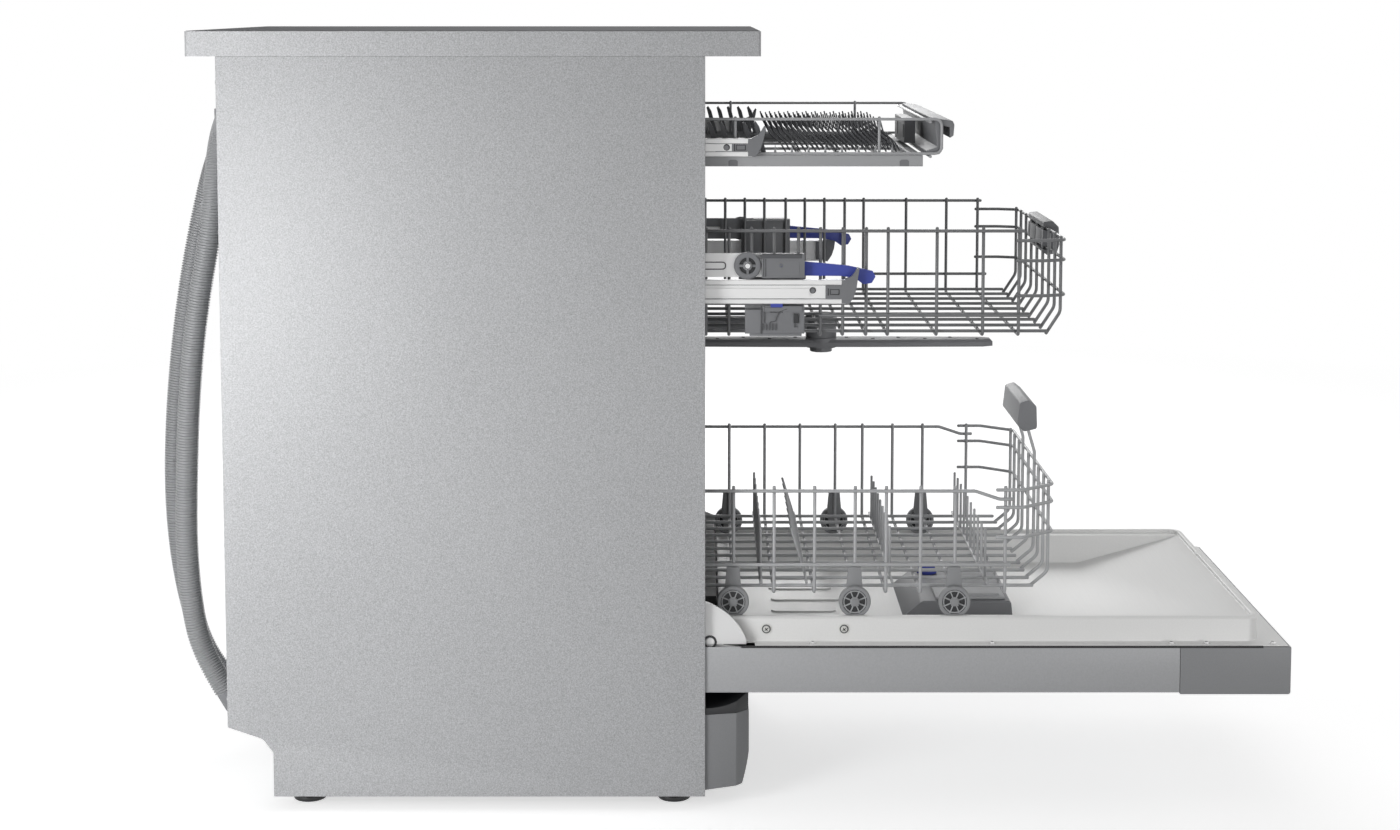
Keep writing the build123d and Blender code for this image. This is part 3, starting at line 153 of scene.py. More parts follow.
class GrainGroups:
    """The shader node groups that the finishes share, each built once."""

    FINE_ROUGHNESS = 0.6
    CLOUD_SCALE = 7.0
    CLOUD_SHARE = 0.05  # how strong the slow variation is beside the fine one
    ROUGH_FINE, ROUGH_CLOUD = 0.18, 0.10  # how far each changes the roughness

    def __init__(self) -> None:
        """Starts with no group built."""
        self._made: dict[Grain, bpy.types.ShaderNodeTree] = {}

    def get(self, grain: Grain) -> bpy.types.ShaderNodeTree:
        """The node group of one kind of grain.

        Args:
            grain: which surface the group makes.

        Returns:
            A group with inputs Vector, Colour, Roughness, Scale and Strength, and with outputs
            Colour, Roughness and Height.
        """
        if grain not in self._made:
            self._made[grain] = self._build(grain)
        return self._made[grain]

    def _build(self, grain: Grain) -> bpy.types.ShaderNodeTree:
        """Builds one group: fine noise on the surface, over slow cloudy variation."""
        graph = Graph(bpy.data.node_groups.new(grain.value + "_grain", "ShaderNodeTree"))
        graph.face("INPUT", ("Vector", "Vector", None), ("Colour", "Color", None),
                   ("Roughness", "Float", 0.5), ("Scale", "Float", 900.0), ("Strength", "Float", 0.1),
                   ("Stretch", "Vector", None))
        graph.face("OUTPUT", ("Colour", "Color", None), ("Roughness", "Float", None),
                   ("Height", "Float", None))
        given = graph.add("NodeGroupInput")
        strength = given["Strength"]
        stretched = graph.add("ShaderNodeVectorMath", {0: given["Vector"], 1: given["Stretch"]},
                              operation="MULTIPLY")[0]
        fine = graph.add("ShaderNodeTexNoise", {
            "Detail": 3.0 if grain is Grain.MOULDED else 2.0, "Roughness": self.FINE_ROUGHNESS,
            "Vector": stretched, "Scale": given["Scale"]})["Fac"]
        cloud = graph.add("ShaderNodeTexNoise", {
            "Scale": self.CLOUD_SCALE, "Detail": 2.0, "Vector": given["Vector"]})["Fac"]
        swing, slow = graph.math("SUBTRACT", fine, 0.5), graph.math("SUBTRACT", cloud, 0.5)
        bright = graph.math("ADD", 1.0, graph.math("MULTIPLY", swing, strength))
        cloudy = graph.math("MULTIPLY", slow, graph.math("MULTIPLY", strength, self.CLOUD_SHARE))
        tinted = graph.add("ShaderNodeVectorMath", {
            0: given["Colour"], "Scale": graph.math("ADD", bright, cloudy)}, operation="SCALE")[0]
        rough = graph.math("ADD", given["Roughness"], graph.math("MULTIPLY", swing, self.ROUGH_FINE))
        rough = graph.math("ADD", rough, graph.math("MULTIPLY", slow, self.ROUGH_CLOUD))
        graph.add("NodeGroupOutput", {"Colour": tinted, "Roughness": rough, "Height": fine})
        return graph.tree


GRAINS = GrainGroups()


@dataclass(frozen=True)
class Finish:
    """One surface finish: what its shader and its grain need."""

    name: str
    slot: str
    colour: Colour
    roughness: float
    metallic: float = 0.0
    grain: Grain = Grain.MOULDED
    scale: float = 900.0
    strength: float = 0.10
    bump: float = 0.05
    stretch: Point = (1.0, 1.0, 1.0)
    coat: float = 0.0
    specular: float = 0.5

    def material(self) -> bpy.types.Material:
        """The Blender material of this finish, made on first use."""
        title = "look_" + self.name
        found = bpy.data.materials.get(title)
        if found:
            return found
        made = bpy.data.materials.new(title)
        made.use_nodes = True
        made.diffuse_color = self.colour
        graph = Graph(made.node_tree)
        graph.tree.nodes.clear()
        surface = graph.add("ShaderNodeGroup", {
            "Vector": graph.add("ShaderNodeTexCoord")["Object"], "Colour": self.colour,
            "Roughness": self.roughness, "Scale": self.scale, "Strength": self.strength,
            "Stretch": self.stretch}, node_tree=GRAINS.get(self.grain))
        normal = graph.add("ShaderNodeBump", {
            "Strength": self.bump, "Distance": BUMP_DEPTH, "Height": surface["Height"]})["Normal"]
        shader = graph.add("ShaderNodeBsdfPrincipled", {
            "Metallic": self.metallic, "Specular IOR Level": self.specular, "Coat Weight": self.coat,
            "Coat Roughness": COAT_ROUGHNESS, "Base Color": surface["Colour"],
            "Roughness": surface["Roughness"], "Normal": normal})
        graph.add("ShaderNodeOutputMaterial", {"Surface": shader[0]})
        return made


ALONG_X, ALONG_Y = (0.03, 1.0, 1.0), (1.0, 0.03, 1.0)
SPECKLE, BRUSHED, MOULDED = Grain.SPECKLE, Grain.BRUSHED, Grain.MOULDED
SILVER = (tone(181, 182, 184), 0.50, 0.10, SPECKLE, 780, 1.30, 0.03)
SILVER_SHEET = Finish("silver_sheet", "cabinet_sheet", *SILVER)
WORKTOP_SILVER = Finish("worktop_silver", "worktop_laminate", *SILVER)
WORKTOP_SKIN = Finish("worktop_skin", "worktop_laminate", tone(106, 107, 109), 0.85, 0.0, MOULDED, 1200,
                      0.08, 0.04, specular=0.05)
DOOR_SHEET = Finish("door_sheet", "door_sheet", tone(174, 175, 177), 0.45, 0.10, SPECKLE, 600, 0.25, 0.08)
FASCIA_GREY = Finish("fascia_grey", "fascia_plastic", tone(142, 143, 145), 0.48, 0.10, SPECKLE, 700, 0.16,
                     0.06)
PLINTH_GREY = Finish("plinth_grey", "plinth_plastic", tone(132, 133, 135), 0.50, 0.0, SPECKLE, 700, 0.18,
                     0.06)
BLACK_PLASTIC = Finish("black_plastic", "dark_plastic", tone(30, 31, 33), 0.40, 0.0, MOULDED, 1500, 0.20,
                       0.06)
STAINLESS = Finish("stainless", "stainless", tone(227, 227, 226), 0.46, 0.25, BRUSHED, 500, 0.08, 0.01,
                   ALONG_X, specular=0.20)
TUB_STEEL = Finish("tub_steel", "stainless", tone(190, 190, 189), 0.34, 0.80, BRUSHED, 420, 0.12, 0.05,
                   ALONG_Y)
BRIGHT_STEEL = Finish("bright_steel", "bright_zinc", tone(246, 246, 246), 0.34, 0.25, BRUSHED, 600, 0.05,
                      0.03, ALONG_Y)
GALVANISED = Finish("galvanised", "galvanised", tone(164, 166, 168), 0.44, 0.70, SPECKLE, 90, 0.22, 0.05)
HINGE_PLATE = Finish("hinge_plate", "bright_zinc", tone(232, 232, 232), 0.40, 0.20, MOULDED, 800, 0.04,
                     0.03)
RUBBER = Finish("rubber", "gasket_rubber", tone(30, 30, 31), 0.62, 0.0, MOULDED, 1800, 0.20, 0.10)
WIRE = (0.38, 0.0, MOULDED, 500, 0.10, 0.10, (1.0, 1.0, 1.0), 0.2)
WIRE_LOWER = Finish("wire_lower", "coated_wire_lower", tone(182, 183, 185), *WIRE)
WIRE_UPPER = Finish("wire_upper", "coated_wire_upper", tone(116, 117, 119), *WIRE)
WIRE_TRAY = Finish("wire_tray", "coated_wire_lower", tone(176, 177, 179), *WIRE)
DARK_PLASTIC = Finish("dark_plastic", "grey_plastic", tone(84, 85, 88), 0.46, 0.0, MOULDED, 1600, 0.10,
                      0.08)
MID_PLASTIC = Finish("mid_plastic", "grey_plastic", tone(126, 127, 130), 0.46, 0.0, MOULDED, 1600, 0.08,
                     0.08)
LIGHT_PLASTIC = Finish("light_plastic", "light_plastic", tone(176, 177, 179), 0.46, 0.0, MOULDED, 1600,
                       0.06, 0.06)
WHITE_PLASTIC = Finish("white_plastic", "button_plastic", tone(226, 226, 222), 0.40, 0.0, MOULDED, 1400,
                       0.05, 0.05)
BLUE_PLASTIC = Finish("blue_plastic", "blue_plastic", tone(62, 76, 168), 0.40, 0.0, MOULDED, 1500, 0.08,
                      0.06,
                      coat=0.1)
TYRE_GREY = Finish("tyre_grey", "wheel_plastic", tone(146, 147, 149), 0.52, 0.0, MOULDED, 1500, 0.08, 0.08)
SPOKE_GREY = Finish("spoke_grey", "wheel_plastic", tone(178, 179, 181), 0.40, 0.0, MOULDED, 1500, 0.06,
                    0.05)
# Painted shade: the dark in recesses, holes, slots and gaps, and behind spokes, given as a dark colour.
RECESS_SHADE = Finish("painted_recess_shade", "dark_plastic", tone(44, 45, 47), 0.55, 0.0, MOULDED, 1500, 0.10, 0.05)
HOSE_GREY = Finish("hose_grey", "hose_plastic", tone(154, 155, 157), 0.42, 0.0, MOULDED, 900, 0.08, 0.05,
                   coat=0.1)
PUMP_GREY = Finish("pump_grey", "pump_metal", tone(120, 121, 123), 0.40, 0.55, SPECKLE, 700, 0.14, 0.08)
CAST_STONE = Finish("cast_stone", "ballast_concrete", tone(138, 136, 131), 0.85, 0.0, MOULDED, 260, 0.35,
                    0.50)
SPRING_STEEL = Finish("spring_steel", "spring_steel", tone(110, 111, 113), 0.35, 0.9, BRUSHED, 700, 0.10,
                      0.05)
SCREW_STEEL = Finish("screw_steel", "bright_zinc", tone(206, 206, 206), 0.28, 0.9, BRUSHED, 900, 0.08, 0.03)


# Mesh work


class Side(Enum):
    """Which pair of sizes an outline gives, and so which way it is extruded."""

    PROFILE = "forward and height, extruded along X"
    PLAN = "X and forward, extruded upwards"
    ELEVATION = "X and height, extruded forward"


class Shape:
    """A mesh in the making, in the machine's frame, from sizes in millimetres."""

    WELD, CAD_WELD = 1e-6, 2e-6  # how near, in metres, corners are that become one
    FLAT = 0.6  # the turn, in degrees, up to which a CAD node's triangles are one face

    def __init__(self) -> None:
        """Starts empty."""
        self.bm = bmesh.new()

    @classmethod
    def of_node(cls, node: str) -> "Shape":
        """A copy of a CAD node's mesh with its loose triangles merged into flat faces."""
        shape = cls()
        shape.bm.from_mesh(frame["nodes"][node].data)
        bmesh.ops.remove_doubles(shape.bm, verts=shape.bm.verts, dist=cls.CAD_WELD)
        bmesh.ops.dissolve_limit(shape.bm, angle_limit=math.radians(cls.FLAT), verts=shape.bm.verts,
                                 edges=shape.bm.edges, use_dissolve_boundaries=False)
        return shape

    def faces(self, points: list[Vector], loops: list[list[int]]) -> "Shape":
        """Adds faces that index a list of points."""
        verts = [self.bm.verts.new(point) for point in points]
        for loop in loops:
            self.bm.faces.new([verts[index] for index in loop])
        return self

    def rings(self, rings: list[list[Vector]], capped: bool = True) -> "Shape":
        """Joins closed rings of equal count in order, with a cap at each end if asked."""
        count = len(rings[0])
        points = [point for ring in rings for point in ring]
        loops = []
        for step in range(len(rings) - 1):
            low, high = step * count, (step + 1) * count
            for turn in range(count):
                after = (turn + 1) % count
                loops.append([low + turn, low + after, high + after, high + turn])
        if capped:
            loops.append(list(range(count))[::-1])
            loops.append([len(points) - count + turn for turn in range(count)])
        return self.faces(points, loops)

    def extrude(self, outline: list[Flat], low: float, high: float, side: Side = Side.PROFILE) -> "Shape":
        """Extrudes a closed outline between two distances.

        Args:
            outline: the corners, in the pair of sizes that side names.
            low: where the extrusion starts.
            high: where it ends.
            side: the outline's plane.

        Returns:
            This shape.
        """
        def at(one: float, two: float, depth: float) -> Vector:
            """The place of a corner at one end of the extrusion."""
            if side is Side.PROFILE:
                return spot(depth, one, two)
            if side is Side.PLAN:
                return spot(one, two, depth)
            return spot(one, depth, two)
        return self.rings([[at(a, b, depth) for a, b in outline] for depth in (low, high)])

    def box(self, x: Flat, forward: Flat, z: Flat) -> "Shape":
        """A block between two X values, two forward distances and two heights."""
        outline = [(forward[0], z[0]), (forward[1], z[0]), (forward[1], z[1]), (forward[0], z[1])]
        return self.extrude(outline, *x)

    def lathe(self, centre: Point, axis: Vector, profile: list[Flat], sides: int = 32,
              closed: bool = False) -> "Shape":
        """Turns a (radius, distance along the axis) profile about an axis through a point.

        Args:
            centre: the point, as X, forward and height.
            axis: the way of the axis in the machine's frame.
            profile: radius and distance pairs, in order along the surface.
            sides: how many sides the turned shape has.
            closed: whether the profile is a loop, as a ring's section is.

        Returns:
            This shape.
        """
        way = axis.normalized()
        one = way.orthogonal().normalized()
        two = way.cross(one)
        middle = spot(*centre)
        rings = []
        turns = [math.tau * step / sides for step in range(sides)]
        for radius, along in profile + (profile[:1] if closed else []):
            rings.append([middle + way * along * MM
                          + (one * math.cos(turn) + two * math.sin(turn)) * radius * MM for turn in turns])
        return self.rings(rings, capped=not closed)

    def bevel(self, width: float, segments: int = 2, angle: float = 28.0) -> "Shape":
        """Rounds the edges that are sharper than an angle in degrees, by a width in mm."""
        edges = [e for e in self.bm.edges
                 if len(e.link_faces) == 2 and e.calc_face_angle(0.0) > math.radians(angle)]
        if edges:
            bmesh.ops.bevel(self.bm, geom=edges, offset=width * MM, offset_type="OFFSET",
                            segments=segments, profile=0.5, affect="EDGES", clamp_overlap=True)
        return self

    def spokes(self, centre: Point, count: int, turn: float, x: Flat, reach: Flat,
               half: float) -> "Shape":
        """Adds flat spokes about an axis along X.

        Args:
            centre: a point of the axis, as X, forward and height.
            count: how many spokes there are.
            turn: by what share of a step the first is turned.
            x: where they start and end along the axis.
            reach: their inner and outer radius.
            half: half their thickness.

        Returns:
            This shape.
        """
        middle, mesh = Matrix.Translation(spot(0, *centre[1:])), bpy.data.meshes.new("spoke")
        for step in range(count):
            spoke = Shape().box(x, reach, (-half, half))
            around = Matrix.Rotation(math.tau * (step + turn) / count, 4, "X")
            spoke.bm.transform(middle @ around @ Matrix.Translation(-spot(0, 0, 0)))
            spoke.bm.to_mesh(mesh)
            self.bm.from_mesh(mesh)
            spoke.bm.free()
        bpy.data.meshes.remove(mesh)
        return self

    @staticmethod
    def section(half: list[Flat], width: float) -> list[Flat]:
        """A ring's section from its half, which is mirrored about the middle of its width."""
        return half + [(radius, width - along) for radius, along in half[::-1]]

    def mirrored(self) -> "Shape":
        """Adds this shape's mirror image on the machine's other side."""
        mesh = bpy.data.meshes.new("half")
        self.bm.to_mesh(mesh)
        mesh.transform(Matrix.Scale(-1, 4, Vector((1, 0, 0))))
        mesh.flip_normals()
        self.bm.from_mesh(mesh)
        bpy.data.meshes.remove(mesh)
        return self

    def piece(self, name: str, finish: Finish, body: str, replaces: tuple[str, ...] = (),
              smooth: float = 35.0) -> bpy.types.Object:
        """Makes the finished object, smooth but for edges sharper than an angle, and rides it on a body.

        Args:
            name: the object's name.
            finish: its finish.
            body: the CAD body it moves with.
            replaces: the CAD nodes it stands for.
            smooth: the sharpest angle, in degrees, that still shades as one surface.

        Returns:
            The object.
        """
        bmesh.ops.remove_doubles(self.bm, verts=self.bm.verts, dist=self.WELD)
        bmesh.ops.recalc_face_normals(self.bm, faces=self.bm.faces)
        mesh = bpy.data.meshes.new(name)
        self.bm.to_mesh(mesh)
        self.bm.free()
        return settle(name, mesh, finish, body, replaces, smooth)


def settle(name: str, mesh: bpy.types.Mesh, finish: Finish | None, body: str,
           replaces: tuple[str, ...] = (), smooth: float = 35.0) -> bpy.types.Object:
    """Links a finished mesh as an object on a body.

    Args:
        name: the object's name.
        mesh: its mesh, in the machine's frame.
        finish: its finish, or None if the mesh has its materials.
        body: the CAD body it moves with.
        replaces: the CAD nodes it stands for.
        smooth: the sharpest angle, in degrees, that still shades as one surface.

    Returns:
        The object.
    """
    mesh.name = name
    if finish is not None:
        mesh.materials.clear()
        mesh.materials.append(finish.material())
    mesh.shade_smooth()
    mesh.set_sharp_from_angle(angle=math.radians(smooth))
    made = linked(name, mesh)
    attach(made, body)
    if replaces:
        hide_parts(*replaces)
    return made


def frozen(source: bpy.types.Object) -> bpy.types.Mesh:
    """The evaluated mesh of an object, which is then removed."""
    bpy.context.view_layer.update()
    mesh = bpy.data.meshes.new_from_object(source.evaluated_get(bpy.context.evaluated_depsgraph_get()))
    bpy.data.objects.remove(source)
    return mesh


def grown(source: bpy.types.Object, tree: bpy.types.GeometryNodeTree,
          values: dict[str, object]) -> bpy.types.Mesh:
    """The plain mesh that a geometry node tree makes of an object, which is then removed.

    Args:
        source: the object that the tree starts from.
        tree: the tree.
        values: its inputs by name, set by their identifiers before the tree is first evaluated.

    Returns:
        The mesh.
    """
    modifier = source.modifiers.new("grown", "NODES")
    modifier.node_group = tree
    known = {item.name: item.identifier for item in tree.interface.items_tree if item.in_out == "INPUT"}
    for name, value in values.items():
        modifier[known[name]] = value
    return frozen(source)


class WireWork:
    """Round coated wires of one radius, gathered into one mesh."""

    ROUNDNESS = 3
    TIP = ((0.55, 0.25), (0.42, 0.66))  # how far a domed end reaches in radii, and its size there

    def __init__(self, radius: float) -> None:
        """Starts a bundle.

        Args:
            radius: the wires' radius in mm.
        """
        self.radius = radius
        self.curve = bpy.data.curves.new("wires", "CURVE")
        self.curve.dimensions = "3D"
        self.curve.bevel_depth = radius * MM
        self.curve.bevel_resolution = self.ROUNDNESS
        self.curve.use_fill_caps = True

    def run(self, points: list[Point], bend: float = 0.0, radius: float | None = None) -> "WireWork":
        """Adds one wire with domed ends, through (x, forward, height) points.

        Args:
            points: the wire's corners and ends.
            bend: the radius of its corners.
            radius: this wire's own radius, if it differs.

        Returns:
            This bundle.
        """
        size = (radius or self.radius) / self.radius
        line = round_corners([spot(*p) for p in points], bend * MM)
        dome = self.radius * size * MM
        first, last = (line[0] - line[1]).normalized(), (line[-1] - line[-2]).normalized()
        stations = [(line[0] + first * dome * reach, share) for reach, share in self.TIP]
        stations += [(point, 1.0) for point in line]
        stations += [(line[-1] + last * dome * reach, share) for reach, share in self.TIP[::-1]]
        spline = self.curve.splines.new("POLY")
        spline.points.add(len(stations) - 1)
        for target, (place, share) in zip(spline.points, stations):
            target.co = (*place, 1.0)
            target.radius = share * size
        return self

    def both(self, points: list[Point], bend: float = 0.0) -> "WireWork":
        """Adds one wire and its mirror image."""
        self.run(points, bend)
        return self.run([(-x, f, z) for x, f, z in points], bend)

    def piece(self, name: str, finish: Finish, body: str,
              replaces: tuple[str, ...] = ()) -> bpy.types.Object:
        """Makes the wires one finished object."""
        return settle(name, frozen(linked(name + "_line", self.curve)), finish, body, replaces, WIRE_TURNS)


def round_corners(points: list[Vector], radius: float) -> list[Vector]:
    """Replaces each corner of a line by an arc.

    Args:
        points: the line's corners and ends, in metres.
        radius: the arcs' radius, cut down where a run is short.

    Returns:
        The line's points with its corners rounded.
    """
    line = [points[0]]
    for before, here, after in zip(points, points[1:], points[2:]):
        back, on = (before - here), (after - here)
        turn = math.pi - back.angle(on)
        if radius <= 0 or turn < 0.02:
            line.append(here)
            continue
        reach = min(radius * math.tan(turn / 2), 0.48 * back.length, 0.48 * on.length)
        start, end = here + back.normalized() * reach, here + on.normalized() * reach
        for step in range(ARC_STEPS + 1):
            share = step / ARC_STEPS
            line.append((1 - share) ** 2 * start + 2 * share * (1 - share) * here + share ** 2 * end)
    line.append(points[-1])
    return line


# Repeated small things, by geometry nodes


class StudKind(Enum):
    """What a row of studs is made of."""

    SCREW = "a cross-head screw on its washer"
    PEG = "a plain tapered peg"


class StudRows:
    """Rows of like small pieces on points, each turned to its own way."""

    INPUTS = (("Radius", 0.003), ("Top Radius", 0.002), ("Height", 0.002), ("Flange Radius", 0.005),
              ("Flange Height", 0.0005))
    SIDES = 16
    SLOT = {"X": ("Radius", 1.15), "Y": ("Radius", 0.24), "Z": ("Height", 0.16)}  # shares of the head
    SLOT_TURN = 0.6

    def __init__(self) -> None:
        """Starts with no tree built."""
        self._trees: dict[StudKind, bpy.types.GeometryNodeTree] = {}

    def _tree(self, kind: StudKind) -> bpy.types.GeometryNodeTree:
        """The node tree of one kind of stud: made at the origin, put on points, realised."""
        if kind in self._trees:
            return self._trees[kind]
        graph = Graph(bpy.data.node_groups.new("studs_" + kind.name.lower(), "GeometryNodeTree"))
        graph.face("INPUT", ("Geometry", "Geometry", None),
                   *((name, "Float", value) for name, value in self.INPUTS),
                   ("Material", "Material", None), ("Recess Material", "Material", None))
        graph.face("OUTPUT", ("Geometry", "Geometry", None))
        given = graph.add("NodeGroupInput")
        joined = graph.tree.nodes.new("GeometryNodeJoinGeometry")

        def join(mesh: Socket, height: Socket | float, name: str) -> None:
            """Moves a mesh up by a height, gives it one of the two materials and joins it."""
            up = graph.add("ShaderNodeCombineXYZ", {"Z": height})[0]
            moved = graph.add("GeometryNodeTransform", {"Geometry": mesh, "Translation": up})[0]
            painted = graph.add("GeometryNodeSetMaterial", {"Geometry": moved, "Material": given[name]})[0]
            graph.feed(joined, {0: painted})

        head = graph.add("GeometryNodeMeshCone", {
            "Vertices": self.SIDES, "Radius Bottom": given["Radius"], "Radius Top": given["Top Radius"],
            "Depth": given["Height"]})["Mesh"]
        screw = kind is StudKind.SCREW
        join(head, given["Flange Height"] if screw else 0.0, "Material")
        if screw:
            flange = graph.add("GeometryNodeMeshCylinder", {
                "Vertices": self.SIDES, "Radius": given["Flange Radius"], "Depth": given["Flange Height"]})
            join(flange["Mesh"], graph.math("MULTIPLY", given["Flange Height"], 0.5), "Material")
            # The cross is two dark bars of painted shade set in the head's top, for the shade in its
            # recess.
            for turn in (self.SLOT_TURN, self.SLOT_TURN + math.pi / 2):
                size = graph.add("ShaderNodeCombineXYZ", {
                    axis: graph.math("MULTIPLY", given[name], share)
                    for axis, (name, share) in self.SLOT.items()})[0]
                slot = graph.add("GeometryNodeMeshCube", {"Size": size})["Mesh"]
                spun = graph.add("GeometryNodeTransform", {
                    "Geometry": slot, "Rotation": (0.0, 0.0, turn)})[0]
                join(spun, graph.math("ADD", given["Height"], given["Flange Height"]), "Recess Material")
        aim = graph.add("GeometryNodeInputNamedAttribute", {"Name": "aim"}, data_type="FLOAT_VECTOR")
        turned = graph.add("FunctionNodeAlignRotationToVector", {"Vector": aim["Attribute"]}, axis="Z")
        placed = graph.add("GeometryNodeInstanceOnPoints", {
            "Points": given["Geometry"], "Instance": joined.outputs[0], "Rotation": turned["Rotation"]})
        graph.add("NodeGroupOutput", {0: graph.add("GeometryNodeRealizeInstances", {0: placed[0]})[0]})
        self._trees[kind] = graph.tree
        return graph.tree

    def piece(self, name: str, kind: StudKind, places: list[tuple[Point, Point]], sizes: tuple[float, ...],
              finish: Finish, body: str, recess: Finish | None = None) -> bpy.types.Object:
        """Makes one object of studs.

        Args:
            name: the object's name.
            kind: which stud.
            places: each stud's (x, forward, height) foot, and the way it points in the machine's frame.
            sizes: the values of INPUTS in order, in mm, as many as are needed.
            finish: the studs' finish.
            body: the CAD body they move with.
            recess: the finish of a screw's cross, dark bars of painted shade that stand for its recess.

        Returns:
            The object.
        """
        points = bpy.data.meshes.new("points")
        points.from_pydata([spot(*where) for where, _ in places], [], [])
        aims = points.attributes.new("aim", "FLOAT_VECTOR", "POINT")
        aims.data.foreach_set("vector", [v for _, way in places for v in Vector(way).normalized()])
        values = {title: value * MM for (title, _), value in zip(self.INPUTS, sizes)}
        values |= {"Material": finish.material(), "Recess Material": (recess or finish).material()}
        mesh = grown(linked(name + "_points", points), self._tree(kind), values)
        return settle(name, mesh, None, body)


STUDS = StudRows()


def outwards(x: float, forward: float, z: float) -> list[tuple[Point, Point]]:
    """The places of two studs, one on each side of the machine, that point away from its middle."""
    return [((side * x, forward, z), (side, 0, 0)) for side in (-1, 1)]


def dress(finish: Finish, *nodes: str) -> None:
    """Gives CAD nodes that keep their own meshes a finish."""
    for node in nodes:
        holder = frame["nodes"][node]
        if not holder.material_slots:
            holder.data.materials.append(finish.material())
        for place in holder.material_slots:
            place.material = finish.material()


def soften(node: str, finish: Finish, width: float, body: str = "cabinet", segments: int = 2,
           smooth: float = 35.0) -> bpy.types.Object:
    """A piece that stands for one CAD node, with its edges rounded by a width in mm."""
    shape = Shape.of_node(node).bevel(width, segments)
    return shape.piece(node + "_dressed", finish, body, (node,), smooth)


# Sub-assemblies


@dataclass(frozen=True)
class Lamp:
    """One soft lamp."""

    name: str
    place: Point
    target: Point
    size: float
    power: float
    spread: float = 180.0
    height: float | None = None

    def hang(self) -> None:
        """Puts the lamp in the scene, aimed at its target and out of the camera's sight."""
        data = bpy.data.lights.new(self.name, "AREA")
        data.shape, data.size, data.size_y = "ELLIPSE", self.size, self.height or self.size
        data.energy, data.spread = self.power, math.radians(self.spread)
        made = linked(self.name, data)
        made.location = self.place
        made.rotation_euler = (Vector(self.target) - Vector(self.place)).to_track_quat("-Z", "Y").to_euler()
        made.visible_camera = False


@dataclass
class Studio:
    """Camera, lamps, floor and background."""

    camera_place: Point = (-2.5587, 0.0479, 0.8745)
    lens: float = 56.75
    shift_y: float = -0.1566
    pitch: float = 5.0
    clip_end: float = 60.0
    world_level: float = 0.26
    floor_reach: float = 9.0
    floor_tone: float = 0.80
    floor_lift: float = 0.60
    fade: Flat = (1.5, 3.2)
    below: float = -0.0006
    lamps: tuple[Lamp, ...] = (
        Lamp("rear_key", (-1.35, 1.3, 0.60), (-0.22, 0.5, 0.44), 0.8, 5.6, 95.0, 1.15),
        Lamp("front_fill", (-2.3, -1.6, 0.5), (-0.2, -0.4, 0.3), 1.0, 3.3, 110.0),
        Lamp("overhead", (-0.4, -0.4, 3.2), (0.0, -0.1, 0.4), 2.6, 3.0),
        Lamp("far_side", (2.6, 0.2, 1.6), (0.0, 0.1, 0.4), 2.0, 30.0),
        Lamp("front", (0.4, -3.0, 1.6), (0.0, 0.0, 0.5), 2.0, 8.0),
    )

    def camera(self) -> None:
        """Sets the camera where the photograph was taken from, looking along +X and slightly down."""
        data = bpy.data.cameras.new("camera")
        data.lens, data.sensor_width, data.shift_y = self.lens, SENSOR, self.shift_y
        data.clip_end = self.clip_end
        made = linked("camera", data)
        made.location = self.camera_place
        made.rotation_euler = (math.radians(90.0 - self.pitch), 0.0, math.radians(-90))
        bpy.context.scene.camera = made
        bpy.context.scene.view_settings.view_transform = "Standard"

    @staticmethod
    def _seen(graph: Graph) -> Socket:
        """A socket that is 1 for rays from the camera, through glass or off a glossy surface, else 0."""
        ray = graph.add("ShaderNodeLightPath")
        found = graph.math("MAXIMUM", ray["Is Camera Ray"], ray["Is Glossy Ray"])
        return graph.math("MAXIMUM", found, ray["Is Transmission Ray"])

    @staticmethod
    def _ramp(graph: Graph, value: Socket, given: Flat, made: Flat) -> Socket:
        """A socket that takes a value from one range to another, and holds it at the ends."""
        names = ("Value", "From Min", "From Max", "To Min", "To Max")
        return graph.add("ShaderNodeMapRange", dict(zip(names, (value, *given, *made))))[0]

    def world(self) -> None:
        """Makes a world that shows white, and lights the object at a plain level."""
        made = bpy.data.worlds.new("studio")
        bpy.context.scene.world = made
        made.use_nodes = True
        graph = Graph(made.node_tree)
        graph.tree.nodes.clear()
        level = self._ramp(graph, self._seen(graph), (0.0, 1.0), (self.world_level, 1.0))
        shown = graph.add("ShaderNodeBackground", {"Color": WHITE, "Strength": level})
        graph.add("ShaderNodeOutputWorld", {"Surface": shown[0]})

    def floor(self) -> None:
        """Lays a plain pale floor that keeps the object's shadow and turns white far from it."""
        reach = self.floor_reach
        mesh = bpy.data.meshes.new("studio_floor")
        corners = ((-reach, -reach), (reach, -reach), (reach, reach), (-reach, reach))
        mesh.from_pydata([(x, y, self.below) for x, y in corners], [], [(0, 1, 2, 3)])
        made = linked("studio_floor", mesh)
        paint = bpy.data.materials.new("studio_floor")
        paint.use_nodes = True
        graph = Graph(paint.node_tree)
        where = graph.add("ShaderNodeTexCoord")["Object"]
        far = graph.add("ShaderNodeVectorMath", {0: where}, operation="LENGTH")["Value"]
        pale = self._ramp(graph, far, self.fade, (self.floor_tone, 0.0))
        grey = graph.add("ShaderNodeCombineColor", {"Red": pale, "Green": pale, "Blue": pale})[0]
        lift = self._ramp(graph, far, self.fade, (self.floor_lift, 1.0))
        graph.feed(paint.node_tree.nodes["Principled BSDF"], {
            "Roughness": 0.9, "Specular IOR Level": 0.0, "Base Color": grey, "Emission Color": WHITE,
            "Emission Strength": graph.math("MULTIPLY", lift, self._seen(graph))})
        mesh.materials.append(paint)

    def build(self) -> None:
        """Makes the whole studio."""
        self.camera()
        for lamp in self.lamps:
            lamp.hang()
        self.world()
        self.floor()


